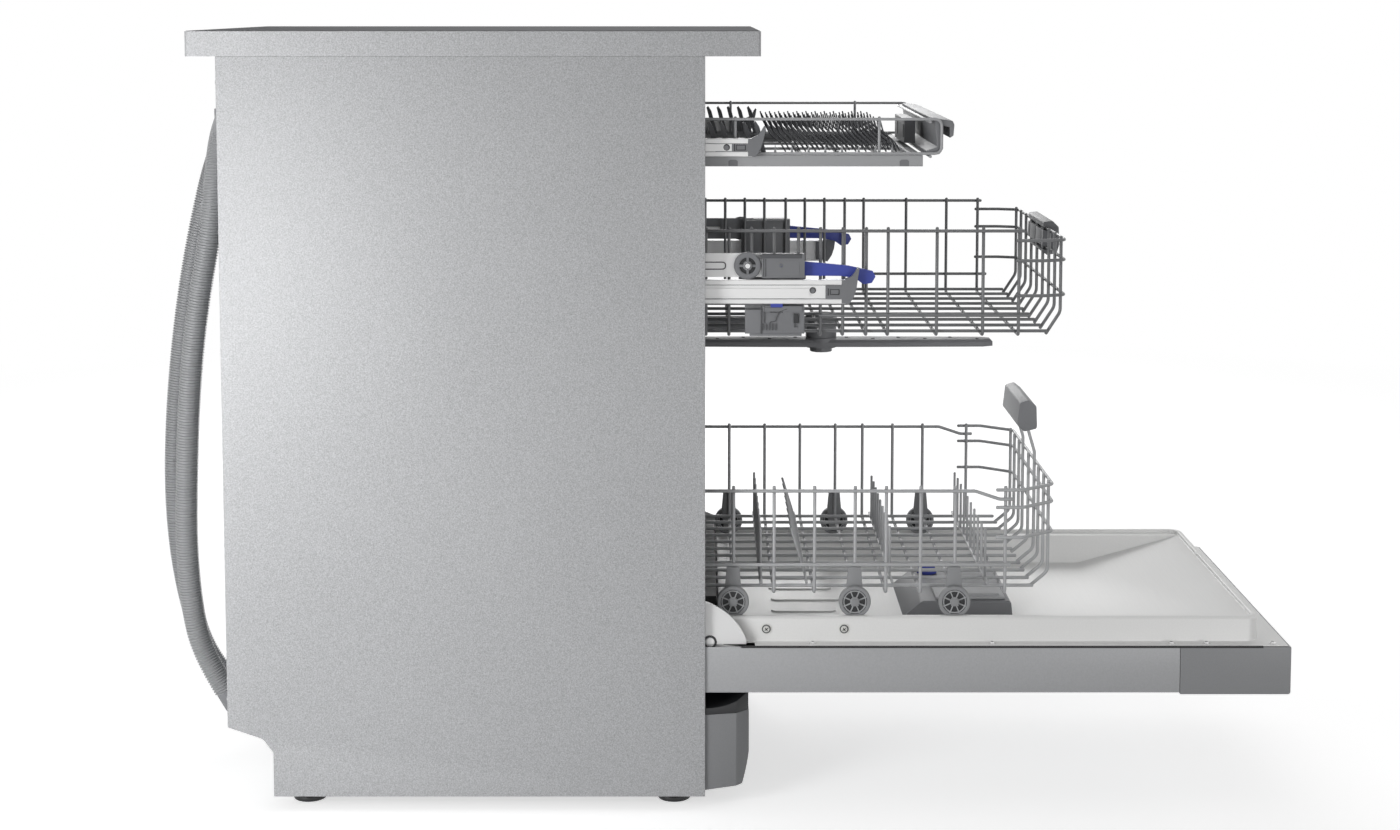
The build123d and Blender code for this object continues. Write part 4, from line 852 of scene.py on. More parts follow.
@dataclass
class DrainHose:
    """The ribbed hose that climbs from the outlet, turns over and is parked low on the back."""

    outlet: Point = (-172.0, -530.6, 116.1)
    outer: float = 12.2
    root: float = 10.5
    pitch: float = 3.1
    sides: int = 20
    curve_steps: int = 24
    length: float = 1.563
    route: list[Point] = field(default_factory=lambda: [
        (-172, -530.6, 116.1), (-172, -554.3, 156.5), (-172, -566, 208), (-172, -571, 282),
        (-171.5, -569, 356), (-172, -565.5, 430), (-172.5, -559, 502), (-172, -549.5, 566),
        (-172, -538.5, 622), (-172, -532.5, 678), (-147, -531.8, 725), (-101, -531.9, 752),
        (-49, -536.5, 752), (-3, -554, 726), (22, -578, 680), (22, -597, 600), (21, -610, 527.5),
        (22, -620, 452.5), (23, -627, 377.5), (22, -629.5, 302.5), (22, -625.5, 228), (23, -614, 159),
        (22, -596, 104), (22, -567, 65), (22, -524, 45), (22, -476, 45),
    ])

    def line(self) -> bpy.types.Object:
        """The hose's centreline as a smooth curve object."""
        curve = bpy.data.curves.new("hose_route", "CURVE")
        curve.dimensions = "3D"
        curve.resolution_u = self.curve_steps
        spline = curve.splines.new("NURBS")
        spline.points.add(len(self.route) - 1)
        for target, place in zip(spline.points, self.route):
            target.co = (*spot(*place), 1.0)
        spline.order_u = 3
        spline.use_endpoint_u = True
        return linked("hose_route", curve)

    def _tree(self) -> bpy.types.GeometryNodeTree:
        """The node tree that draws rings of two sizes in turn along a line of edges."""
        graph = Graph(bpy.data.node_groups.new("hose_ribs", "GeometryNodeTree"))
        graph.face("INPUT", ("Geometry", "Geometry", None), ("Pitch", "Float", self.pitch * MM),
                   ("Crest", "Float", self.outer * MM), ("Root", "Float", self.root * MM),
                   ("Sides", "Int", self.sides), ("Material", "Material", None))
        graph.face("OUTPUT", ("Geometry", "Geometry", None))
        given = graph.add("NodeGroupInput")
        curve = graph.add("GeometryNodeMeshToCurve", {"Mesh": given["Geometry"]})["Curve"]
        stations = graph.add("GeometryNodeResampleCurve", {
            "Curve": curve, "Length": graph.math("MULTIPLY", given["Pitch"], 0.25)}, mode="LENGTH")["Curve"]
        turn = graph.math("MODULO", graph.add("GeometryNodeInputIndex")[0], 4.0)
        size = graph.add("ShaderNodeMix", {
            "Factor": graph.math("LESS_THAN", turn, 1.5), "A": given["Crest"], "B": given["Root"]},
            data_type="FLOAT")["Result"]
        spread = graph.add("GeometryNodeSetCurveRadius", {"Curve": stations, "Radius": size})["Curve"]
        section = graph.add("GeometryNodeCurvePrimitiveCircle", {
            "Radius": 1.0, "Resolution": given["Sides"]})["Curve"]
        skin = graph.add("GeometryNodeCurveToMesh", {
            "Curve": spread, "Profile Curve": section, "Scale": size, "Fill Caps": True})["Mesh"]
        real = graph.add("GeometryNodeRealizeInstances", {0: skin})[0]
        graph.add("NodeGroupOutput", {0: graph.add("GeometryNodeSetMaterial", {
            "Geometry": real, "Material": given["Material"]})[0]})
        return graph.tree

    def build(self) -> None:
        path = frozen(self.line())
        mesh = grown(linked("hose_line", path), self._tree(), {
            "Pitch": self.pitch * MM, "Crest": self.outer * MM, "Root": self.root * MM,
            "Sides": self.sides, "Material": HOSE_GREY.material()})
        hose = settle("drain_hose_ribbed", mesh, None, "cabinet", ("drain_hose",), 60.0)
        cuff = Shape.of_node("hose_end_cuff").bevel(0.8, 2).piece(
            "hose_cuff_dressed", RUBBER, "cabinet", ("hose_end_cuff",))


@dataclass
class Casing:
    """Worktop, side panels, back, base, plinth and feet."""

    half_width: float = 224.0
    top: float = 845.0
    board: float = 27.0
    front: float = 59.0
    rear: float = -550.5
    corner: float = 4.0
    corner_steps: int = 4
    depth: float = 518.0
    foot_x: float = 186.0
    foot_stations: Flat = (-34.0, -436.0)
    pad: tuple[Flat, ...] = ((15.5, 0), (17.6, 0.6), (18, 1.6), (18, 5.4), (17.2, 6.4), (10.5, 8.2), (9, 9),
                             (9, 10))
    screw: tuple[float, ...] = (3.4, 2.6, 1.8, 5.2, 0.6)

    def _plan(self, inset: float) -> list[Flat]:
        """The worktop's outline seen from above, with round corners."""
        radius = self.corner - min(inset, self.corner - 0.5)
        points = []
        for sx, sf, start in ((1, 1, 0), (-1, 1, 90), (-1, -1, 180), (1, -1, 270)):
            cx = sx * (self.half_width - inset - radius)
            cf = (self.front - inset - radius) if sf > 0 else (self.rear + inset + radius)
            for step in range(self.corner_steps + 1):
                angle = math.radians(start + 90 * step / self.corner_steps)
                points.append((cx + radius * math.cos(angle), cf + radius * math.sin(angle)))
        return points

    def worktop(self) -> None:
        """A board with a rolled edge band and a darker laminate on top."""
        low = self.top - self.board
        band = Shape().extrude(self._plan(0), low, self.top - 0.5, Side.PLAN).bevel(1.6, 3, 60)
        band.piece("worktop_board", WORKTOP_SILVER, "cabinet", ("worktop",), 50)
        skin = Shape().extrude(self._plan(1.4), self.top - 0.7, self.top, Side.PLAN).bevel(0.3, 1, 60)
        skin.piece("worktop_laminate", WORKTOP_SKIN, "cabinet", smooth=40)

    def panels(self) -> None:
        """Side panels, back panel and base, with their edges folded and softened."""
        soften("side_panels", SILVER_SHEET, 0.6)
        soften("back_panel", GALVANISED, 0.3)
        soften("base_tray", BLACK_PLASTIC, 0.8)
        soften("plinth", PLINTH_GREY, 1.0, smooth=60)
        # The trough is black: partly black plastic, partly painted shade of the gap between the door and
        # the plinth.
        soften("plinth_trough", BLACK_PLASTIC, 0.8)
        dress(GALVANISED, "door_springs")

    def screws(self) -> None:
        """The fixings of the back panel and the worktop."""
        rear = -self.depth
        places = [((x, rear, z), (0, 1, 0)) for x in (-212, 212) for z in (120, 290, 460, 630, 790)]
        places += [((x, rear, 806), (0, 1, 0)) for x in (-140, -60, 60, 140)]
        STUDS.piece("back_screws", StudKind.SCREW, places, self.screw, SCREW_STEEL, "cabinet", RECESS_SHADE)

    def feet(self) -> None:
        """Levelling feet: turned pads on hexagonal stems."""
        pads, up = Shape(), Vector((0, 0, 1))
        for x in (-self.foot_x, self.foot_x):
            for forward in self.foot_stations:
                pads.lathe((x, forward, 0), up, list(self.pad), 28)
                pads.lathe((x, forward, 9), up, [(7, 0), (7, 13)], 6)
        pads.piece("feet_dressed", BLACK_PLASTIC, "cabinet", ("levelling_feet",), 40)

    def build(self) -> None:
        """Makes the whole casing."""
        self.worktop()
        self.panels()
        self.screws()
        self.feet()


@dataclass
class Tub:
    """The wash tub, its water parts and what stands on its floor."""

    filter_x: float = 88.0
    filter_forward: float = -335.0
    filter_radius: float = 34.0
    filter_rows: int = 9
    filter_turn: int = 28
    hole: tuple[float, ...] = (1.1, 1.0, 0.5)
    spring_x: float = 213.0
    spring_ends: tuple[Flat, Flat] = ((-330, 60), (-60, 112))
    coil_radius: float = 3.6
    coil_turns: int = 74
    coil_steps: int = 10

    def skins(self) -> None:
        """Gives the tub's sheets and hidden machinery their finishes."""
        dress(TUB_STEEL, "tub_walls")
        soften("tub_floor", TUB_STEEL, 1.2)
        dress(RUBBER, "tub_gasket")
        dress(DARK_PLASTIC, "mains_gland")
        soften("sump", DARK_PLASTIC, 0.8)
        soften("spray_feed_duct", MID_PLASTIC, 1.6, segments=3)
        for node, finish, width in (
            ("circulation_pump", PUMP_GREY, 1.0), ("drain_pump", PUMP_GREY, 1.0),
            ("inlet_valve", LIGHT_PLASTIC, 0.6), ("softener_tank", LIGHT_PLASTIC, 1.6),
            ("salt_cap", DARK_PLASTIC, 0.8), ("ballast_block", CAST_STONE, 3.0),
            ("rail_supports", LIGHT_PLASTIC, 0.6), ("hose_fittings", MID_PLASTIC, 0.7),
        ):
            soften(node, finish, width)

    def filter_sieve(self) -> None:
        """The filter's cup, with its rows of small holes shown as dark studs of painted shade."""
        soften("coarse_filter", MID_PLASTIC, 0.6, "coarse_filter")
        places, reach = [], self.filter_radius - 0.75
        for row in range(self.filter_rows):
            for step in range(self.filter_turn):
                angle = math.tau * (step + 0.5 * (row % 2)) / self.filter_turn
                way = (math.cos(angle), math.sin(angle), 0.0)
                places.append(((self.filter_x + way[0] * reach, self.filter_forward - way[1] * reach,
                                108 + 5 * row), way))
        # Each hole is a dark peg of painted shade.
        STUDS.piece("filter_holes", StudKind.PEG, places, self.hole, RECESS_SHADE, "coarse_filter")

    def springs(self) -> None:
        """The door's coil springs, low in the base on each side."""
        coil = WireWork(1.0)
        one, count = Vector((1, 0, 0)), self.coil_turns * self.coil_steps
        for side in (-1, 1):
            x = side * self.spring_x
            low, high = (Vector((x, *end)) for end in self.spring_ends)
            two = (high - low).normalized().cross(one)
            points = []
            for step in range(count + 1):
                angle = math.tau * step / self.coil_steps
                around = (one * math.cos(angle) + two * math.sin(angle)) * self.coil_radius
                points.append(tuple(low.lerp(high, step / count) + around))
            coil.run(points)
            coil.run([(x, -40, 116), tuple(high)])
            coil.run([tuple(low), (x, -350, 56)])
        coil.curve.bevel_resolution = 1
        coil.piece("door_spring_coils", SPRING_STEEL, "cabinet", ("door_springs",))

    def build(self) -> None:
        """Makes the tub and what is built into it."""
        self.skins()
        self.filter_sieve()
        self.springs()


@dataclass
class SprayArms:
    """The three turning spray arms and their jets."""

    axis_forward: float = -255.0
    upper_forward: float = 136.0
    jet: tuple[float, ...] = (2.6, 1.7, 1.3)
    jets: int = 6
    hub: float = 30.0
    offset: float = 5.5

    def arm(self, node: str, forward: float, top: float, half_length: float) -> None:
        """One arm with softened edges and a staggered row of jets on its upper face."""
        soften(node, MID_PLASTIC, 1.4, node, 3)
        places = []
        for side in (-1, 1):
            for step in range(self.jets):
                reach = side * (self.hub + (half_length - 48) * step / (self.jets - 1))
                places.append((((-1) ** step * self.offset, forward + reach, top - 0.4), (0, 0, 1)))
        STUDS.piece(node + "_jets", StudKind.PEG, places, self.jet, DARK_PLASTIC, node)

    def build(self) -> None:
        """Makes the three arms."""
        self.arm("lower_spray_arm", self.axis_forward, 218.0, 178.0)
        self.arm("ceiling_spray_arm", self.axis_forward, 780.0, 120.0)
        self.arm("upper_spray_arm", self.upper_forward, 483.5, 200.0)


@dataclass
class Door:
    """The open door: outer sheet, control fascia, inner liner, hinges and dispenser."""

    seam: float = 179.5
    liner_half: float = 203.0
    rear: float = 15.0
    front: float = 605.4
    hinge_forward: float = 5.2
    hinge_height: float = 183.2
    plate_radius: float = 69.0
    plate_forward: float = -20.0
    plate_height: float = 161.7
    ridges: tuple[Point, ...] = ((0, 78, 169), (-49, 77, 152), (49, 77, 152), (-98, 77, 152), (98, 77, 152))
    side_screws: Flat = (66.7, 151.5)
    side_screw: tuple[float, ...] = (3.7, 3.0, 1.8, 6.0, 0.7)
    # sizes of the dark peg of painted shade that shows as a ring round each side screw's head
    screw_shade_ring: tuple[float, ...] = (5.0, 4.9, 0.9)
    flange_screws: tuple[float, ...] = (117, 312, 507, 545, 617)
    flange_screw: tuple[float, ...] = (2.8, 2.0, 1.5, 4.2, 0.6)

    def shells(self) -> None:
        """Outer sheet, fascia and liner with softened edges, and the parts set into them."""
        soften("door_outer_panel", DOOR_SHEET, 0.7, "door")
        soften("control_fascia", FASCIA_GREY, 1.4, "door", 3)
        soften("door_inner_liner", STAINLESS, 0.9, "door", 3, 50)
        soften("hinge_arms", BRIGHT_STEEL, 0.5, "door")
        soften("detergent_dispenser", MID_PLASTIC, 1.6, "door", 3)
        soften("dispenser_lid", LIGHT_PLASTIC, 0.8, "dispenser_lid")
        soften("rinse_aid_cap", BLUE_PLASTIC, 0.8, "rinse_aid_cap")
        for name in ("power_button", "program_button", "start_button"):
            soften(name, WHITE_PLASTIC, 0.8, name)

    def pressings(self) -> None:
        """Stiffening ridges pressed into the floor of the liner."""
        ridges = Shape()
        for x, start, end in self.ridges:
            ridges.extrude([(x - 5, start + 5), (x, start), (x + 5, start + 5), (x + 5, end - 5),
                            (x, end), (x - 5, end - 5)], 170.6, 172.8, Side.PLAN)
        ridges.bevel(1.1, 3, 20)
        ridges.piece("liner_ridges", STAINLESS, "door", smooth=60)

    def fixings(self) -> None:
        """Screws on washers in the liner's sides and its flange."""
        places = [((side * self.liner_half, f, 194.5), (side, 0, 0))
                  for side in (-1, 1) for f in self.side_screws]
        STUDS.piece("liner_side_screws", StudKind.SCREW, places, self.side_screw, WHITE_PLASTIC, "door",
                    RECESS_SHADE)
        # A dark peg under each side screw shows as a ring of painted shade between its head and washer.
        STUDS.piece("liner_screw_gaps", StudKind.PEG, places, self.screw_shade_ring, DARK_PLASTIC, "door")
        places = [((side * 211, f, 180.7), (0, 0, 1)) for side in (-1, 1) for f in self.flange_screws]
        STUDS.piece("liner_flange_screws", StudKind.SCREW, places, self.flange_screw, SCREW_STEEL, "door",
                    RECESS_SHADE)

    def seal(self) -> None:
        """The dark seal that shows as a line along each side of the liner's flange."""
        low, high = self.seam - 1.1, self.seam + 0.9
        line = Shape().box((-221.3, -218.6), (self.rear + 24, self.front - 1), (low, high))
        line.mirrored().piece("door_seam", RUBBER, "door")

    def hinge_plates(self) -> None:
        """The pale curved plate at each end of the hinge line, with its pin and a dark ring of painted
        shade round it.
        """
        plate = Shape()
        outline = []
        for step in range(41):
            angle = math.radians(8 + 164 * step / 40)
            f = self.plate_forward + self.plate_radius * math.cos(angle)
            z = self.plate_height + self.plate_radius * math.sin(angle)
            if -75 <= f <= 60 and z >= 181:
                outline.append((f, z))
        outline += [(outline[-1][0], 181.0), (outline[0][0], 181.0)]
        plate.extrude(outline, -215.0, -212.0).bevel(0.6, 2)
        plate.box((-215.0, -212.0), (-120, -40), (187.5, 217.7))
        plate.mirrored()
        plate.piece("hinge_plates_dressed", HINGE_PLATE, "cabinet", ("hinge_brackets",), 30)
        pins, rings = Shape(), Shape()
        centre = (-216.5, self.hinge_forward, self.hinge_height)
        pins.lathe(centre, Vector((1, 0, 0)), [(2.4, 0), (4.6, 0.5), (5.0, 1.0), (5.0, 13.1)], 32)
        # The ring is painted shade round the pin's foot.
        rings.lathe(centre, Vector((1, 0, 0)), [(5.2, 1.1), (7.4, 1.1), (7.6, 1.5), (5.2, 1.5)], 32, True)
        pins.mirrored().piece("hinge_pins", BRIGHT_STEEL, "cabinet")
        rings.mirrored().piece("hinge_pin_rings", RECESS_SHADE, "cabinet")

    def build(self) -> None:
        """Makes the whole door."""
        self.shells()
        self.pressings()
        self.fixings()
        self.seal()
        self.hinge_plates()


@dataclass
class Basket:
    """The frame that both wire baskets have; each gives it its own sizes."""

    wire: float
    half: float
    rear: float
    front: float
    top: float
    middle: float
    low: float
    bays: tuple[float, ...]
    hoop_rise: float
    rods: int
    pitch: float
    rod_end: float
    upright_pitch: float
    rails: tuple[float, ...]
    rail_start: float
    nose: float
    front_uprights: tuple[float, ...]
    upright_top: float
    upright_foot: float
    upright_bend: float

    def frame(self, work: WireWork) -> None:
        """Adds the hoops, long rods, rear wall, front rails and front uprights."""
        r, low, half, rear, start = self.wire, self.low, self.half, self.rear, self.rail_start
        wall, inside = half - 2 * r, self.front - 2 * r
        high = self.top + self.hoop_rise
        for f in self.bays:
            work.run([(-wall, f, high), (-wall, f, low), (wall, f, low), (wall, f, high)], 5)
        for step in range(-self.rods, self.rods + 1):
            x = step * self.pitch
            work.run([(x, rear + r, low + 2 * r), (x, self.rod_end, low + 2 * r)])
        for z in (self.top - 2 * r, self.middle):
            work.run([(-wall, rear - r, z), (wall, rear - r, z)])
        for step in range(-2, 3):
            x = step * self.upright_pitch
            work.run([(x, rear + r, low + 2 * r), (x, rear + r, self.top)])
        for z in self.rails:
            work.run([(-half, start - 28, z), (-half, start + 0.5, z), (-self.nose, self.front, z),
                      (self.nose, self.front, z), (half, start + 0.5, z), (half, start - 28, z)], 10)
        for x in self.front_uprights:
            work.run([(x, inside, self.upright_top), (x, inside, low + self.upright_foot),
                      (x, self.rod_end, low)], self.upright_bend)


@dataclass
class LowerBasket(Basket):
    """The lower basket: wires, tines, grip and wheels."""

    wire: float = 1.9
    half: float = 184.0
    rear: float = -106.0
    front: float = 384.5
    top: float = 342.8
    middle: float = 260.7
    low: float = 229.0
    bays: tuple[float, ...] = (*(31.3 + 44.4 * step for step in range(-3, 4)), 198.6, 236.4, 274.2, 329.2)
    hoop_rise: float = 4.0
    rods: int = 5
    pitch: float = 33.0
    rod_end: float = 362.0
    upright_pitch: float = 66.0
    rails: tuple[float, ...] = (344.0, 324.6, 291.3)
    rail_start: float = 347.0
    nose: float = 154.0
    front_uprights: tuple[float, ...] = (-150, -115, -77, 0, 77, 115, 150)
    upright_top: float = 347.0
    upright_foot: float = 16.0
    upright_bend: float = 12.0
    grip_posts: Flat = (-45.0, 45.0)
    tine_rows: Flat = (61.8, 311.5)
    tine_height: float = 53.0
    folding_height: float = 54.2
    wheel_radius: float = 17.5
    wheel_height: float = 221.8
    wheel_inner: float = 186.6
    wheel_width: float = 8.0
    wheel_hole: tuple[float, ...] = (0.6, 0.55, 0.2)
    hole_circle: float = 3.6
    stations: dict[str, float] = field(
        default_factory=lambda: {"rear_wheels": 30.6, "middle_wheels": 163.8, "front_wheels": 272.9})

    def wires(self) -> None:
        """The basket's coated wires."""
        r, top, low, half, rear = self.wire, self.top, self.low, self.half, self.rear
        inside = self.front - 2 * r
        work = WireWork(r)
        work.both([(-half, rear, top), (-half, 295.3, top), (-half, 322, top - 9),
                   (-half, 336, top - 9)], 14)
        work.both([(-half, rear, self.middle), (-half, 334, self.middle)])
        self.frame(work)
        for x in self.grip_posts:
            work.run([(x, self.rod_end, low), (x, inside, low + 16), (x, inside, 358), (x, 373, 384),
                      (x, 373, 398)], 12)
        for f in self.tine_rows:
            work.run([(-170, f, low + 4 * r), (170, f, low + 4 * r)])
            for step in range(-5, 5):
                x = (step + 0.5) * self.pitch
                work.run([(x, f, low + 4 * r), (x, f, low + 5 * r + self.tine_height)], radius=1.5)
        work.piece("lower_basket_wires", WIRE_LOWER, "lower_rack", ("lower_rack_wires",))

    def tine_row(self, node: str, forward: float, lean: float) -> None:
        """A folding row: one turning rod with tines that end in domed tips."""
        z, side, up = 236.7, -math.sin(lean), math.cos(lean)
        work = WireWork(1.5)
        work.run([(-168, forward, z), (168, forward, z)])
        for step in range(-4, 5):
            x = step * self.pitch
            tall = self.folding_height
            work.run([(x, forward, z), (x, forward + tall * side, z + tall * up)])
        work.piece(node + "_wires", WIRE_LOWER, node, (node,))

    def wheels(self) -> None:
        """Each wheel: a pale tyre, eight spokes over a dark disc of painted shade, and a boss with three
        small holes shown as dark pegs of painted shade.
        """
        along, radius, width = Vector((1, 0, 0)), self.wheel_radius, self.wheel_width
        tyre_half = [(13.4, 0.6), (14.0, 0.0), (16.4, 0.0), (17.2, 0.7), (radius, 1.8)]
        for node, forward in self.stations.items():
            tyre, shade_disc, spokes, holes = Shape(), Shape(), Shape(), []
            outer = -self.wheel_inner - width
            centre = (outer, forward, self.wheel_height)
            tyre.lathe(centre, along, Shape.section(tyre_half, width), 40, True)
            # A dark disc of painted shade behind the spokes.
            shade_disc.lathe(centre, along, Shape.section([(3.0, 2.6), (13.8, 2.6)], width), 32, True)
            for half in ([(2.7, 0.6), (4.4, 0.6), (5.0, 1.1)], [(11.5, 0.9), (12.6, 0.9)]):
                spokes.lathe(centre, along, Shape.section(half, width), 32, True)
            spokes.spokes(centre, 8, 0.5, (outer + 1.2, outer + width - 1.2), (4.4, 13.9), 0.6)
            for side in (-1, 1):
                for step in range(3):
                    angle = math.tau * step / 3 + 0.4
                    f = forward + self.hole_circle * math.cos(angle)
                    z = self.wheel_height + self.hole_circle * math.sin(angle)
                    holes.append(((side * -(outer + 0.64), f, z), (side, 0, 0)))
            tyre.mirrored().piece(node + "_tyres", TYRE_GREY, node, (node,), 30)
            shade_disc.mirrored().piece(node + "_webs", RECESS_SHADE, node)
            spokes.mirrored().piece(node + "_spokes", SPOKE_GREY, node, smooth=30)
            # The boss's holes are dark pegs of painted shade.
            STUDS.piece(node + "_holes", StudKind.PEG, holes, self.wheel_hole, RECESS_SHADE, node)

    def build(self) -> None:
        """Makes the whole lower basket."""
        self.wires()
        self.tine_row("rear_tines", 112.0, math.radians(17))
        self.tine_row("front_tines", 206.8, 0.0)
        self.wheels()
        soften("wheel_carriers", TYRE_GREY, 0.7, "lower_rack")
        soften("lower_rack_grip", MID_PLASTIC, 0.8, "lower_rack", 3, 50)


@dataclass
class UpperBasket(Basket):
    """The upper basket with its feed pipe and hangers."""

    wire: float = 1.8
    half: float = 184.8
    rear: float = -85.0
    front: float = 391.0
    top: float = 628.6
    middle: float = 536.6
    low: float = 514.7
    bays: tuple[float, ...] = (-73.0, -48.4, -23.7, 1.0, 25.9, 50.3, 74.7, 101.2, 125.1, 149.5, 174.8,
                               198.4, 251.4, 301.6, 340.5)
    hoop_rise: float = 3.0
    rods: int = 4
    pitch: float = 44.0
    rod_end: float = 372.0
    upright_pitch: float = 79.2
    rails: tuple[float, ...] = (618.0, 596.2, 558.0)
    rail_start: float = 366.0
    nose: float = 176.0
    front_uprights: tuple[float, ...] = (-171, -130, -88, -44, 0, 44, 88, 130, 171)
    upright_top: float = 621.0
    upright_foot: float = 24.0
    upright_bend: float = 14.0

    def wires(self) -> None:
        """The basket's coated wires."""
        half = self.half
        work = WireWork(self.wire)
        work.both([(-half, self.rear, self.top), (-half, 345, self.top)])
        work.both([(-half, 123.6, self.middle), (-half, 352, self.middle)])
        self.frame(work)
        work.piece("upper_basket_wires", WIRE_UPPER, "upper_rack", ("upper_rack_wires",))

    def build(self) -> None:
        """Makes the upper basket's own pieces."""
        self.wires()
        soften("upper_rack_grip", DARK_PLASTIC, 0.8, "upper_rack", 3, 50)
        soften("upper_feed_pipe", MID_PLASTIC, 1.0, "upper_rack")
        soften("rack_hangers", MID_PLASTIC, 0.5, "upper_rack")


@dataclass
class HeightAdjusters:
    """The blocks that carry the upper basket: housing, steel plate, roller and lift lever."""

    roller_forward: float = 45.7
    roller_height: float = 592.5
    roller_radius: float = 14.7
    roller_outer: float = 201.0
    roller_width: float = 6.0
    skin: float = -202.5
    panel: float = -202.4
    behind: float = -201.8
    line_x: float = -202.15
    line_radius: float = 0.45
    slot_x: float = -194.8
    slot_radius: float = 0.6
    dot: tuple[float, ...] = (2.6, 2.3, 0.6)

    def blocks(self) -> None:
        """The moulded block of each side, and the slotted steel plate behind the roller."""
        body, skin, panel, behind = "lift_carriages", self.skin, self.panel, self.behind
        soften(body, MID_PLASTIC, 0.7, body)
        ledge = Shape().box((skin, -196), (58.5, 104), (600.8, 605)).bevel(0.5)
        ledge.mirrored().piece("carriage_ledges", DARK_PLASTIC, body)
        face = Shape().box((skin, behind), (66, 101), (582, 598)).bevel(0.3)
        face.box((panel, behind), (62, 104), (543, 549)).mirrored()
        face.piece("carriage_faces", MID_PLASTIC, body)
        lines = WireWork(self.line_radius)
        for points, bend in (
            ([(62.8, 600), (62.8, 581)], 0.0), ([(65, 600), (65, 581)], 0.0),
            ([(60.3, 549), (60.3, 519)], 0.0), ([(63.6, 549), (63.6, 531)], 0.0),
            ([(63.6, 547.5), (82, 547.5)], 0.0),
            ([(88, 546), (80, 543), (77, 537), (76, 532.5), (70, 532), (69.5, 529)], 3.0),
            *(([(62.5 + 3.4 * step, 530), (62.5 + 3.4 * step, 523)], 0.0) for step in range(5)),
        ):
            lines.both([(self.line_x, f, z) for f, z in points], bend)
        lines.piece("carriage_lines", DARK_PLASTIC, body)
        # The slots are dark boxes of painted shade for open slots; the latches are blue plastic.
        for name, finish, x, forward, z in (
            ("carriage_slots", RECESS_SHADE, panel, (95.5, 100.5), (530.5, 541)),
            ("carriage_latches", BLUE_PLASTIC, skin, (70.5, 83.5), (547.8, 551.5)),
        ):
            Shape().box((x, behind), forward, z).bevel(0.3, 1).mirrored().piece(name, finish, body)
        outline = [(-75, 581), (-75, 605.5), (61, 605.5), (61, 579.7), (-70, 579.7)]
        plate = Shape().extrude(outline, -194.6, -193.6).bevel(0.3, 1)
        plate.mirrored().piece("steel_plates", BRIGHT_STEEL, body)
        groove = WireWork(self.slot_radius)
        corners = ((-60, 595.8), (22, 595.8), (22, 588.2), (-60, 588.2))
        groove.both([(self.slot_x, f, z) for f, z in corners], 3.6)
        groove.piece("plate_slots", DARK_PLASTIC, body)
        STUDS.piece("marker_dots", StudKind.PEG, outwards(201.9, 82, 593), self.dot, BLUE_PLASTIC, body)

    def rollers(self) -> None:
        """The roller of each side: a grey ring and four spokes over a dark disc of painted shade, and a
        bright rivet.
        """
        outer, forward, height = -self.roller_outer, self.roller_forward, self.roller_height
        centre, along = (outer, forward, height), Vector((1, 0, 0))
        width, radius = self.roller_width, self.roller_radius
        ring, shade_disc = Shape(), Shape()
        ring.lathe(centre, along, [
            (8.9, 0.8), (9.7, 0.2), (11.4, 0), (13.6, 0.3), (radius, 1.3), (radius, width - 1),
            (13.6, width), (9.7, width), (8.9, width - 0.3)], 40, True)
        ring.lathe(centre, along, [
            (2.7, 0.2), (4.9, 0.2), (5.3, 0.6), (5.3, width - 0.2), (2.7, width - 0.2)], 28, True)
        # A dark disc of painted shade behind the roller's spokes.
        shade_disc.lathe(centre, along, [(3.0, 2.4), (9.2, 2.4), (9.2, width - 0.4), (3.0, width - 0.4)], 28, True)
        ring.spokes(centre, 4, 0.0, (outer + 0.5, outer + width - 0.5), (4.6, 9.4), 1.3)
        ring.mirrored().piece("roller_rings", MID_PLASTIC, "carriage_rollers", ("carriage_rollers",), 30)
        shade_disc.mirrored().piece("roller_webs", RECESS_SHADE, "carriage_rollers")
        rivet = Shape().lathe((-202.7, forward, height), along, [
            (2.2, 0.0), (3.9, 0.4), (4.3, 1.2), (4.3, 1.5)], 28)
        rivet.mirrored().piece("roller_rivets", BRIGHT_STEEL, "lift_carriages")

    def levers(self) -> None:
        """The two lift levers."""
        for name in ("lift_lever_left", "lift_lever_right"):
            soften(name, BLUE_PLASTIC, 0.7, name, 3, 40)

    def build(self) -> None:
        """Makes the whole height adjuster."""
        self.blocks()
        self.rollers()
        self.levers()


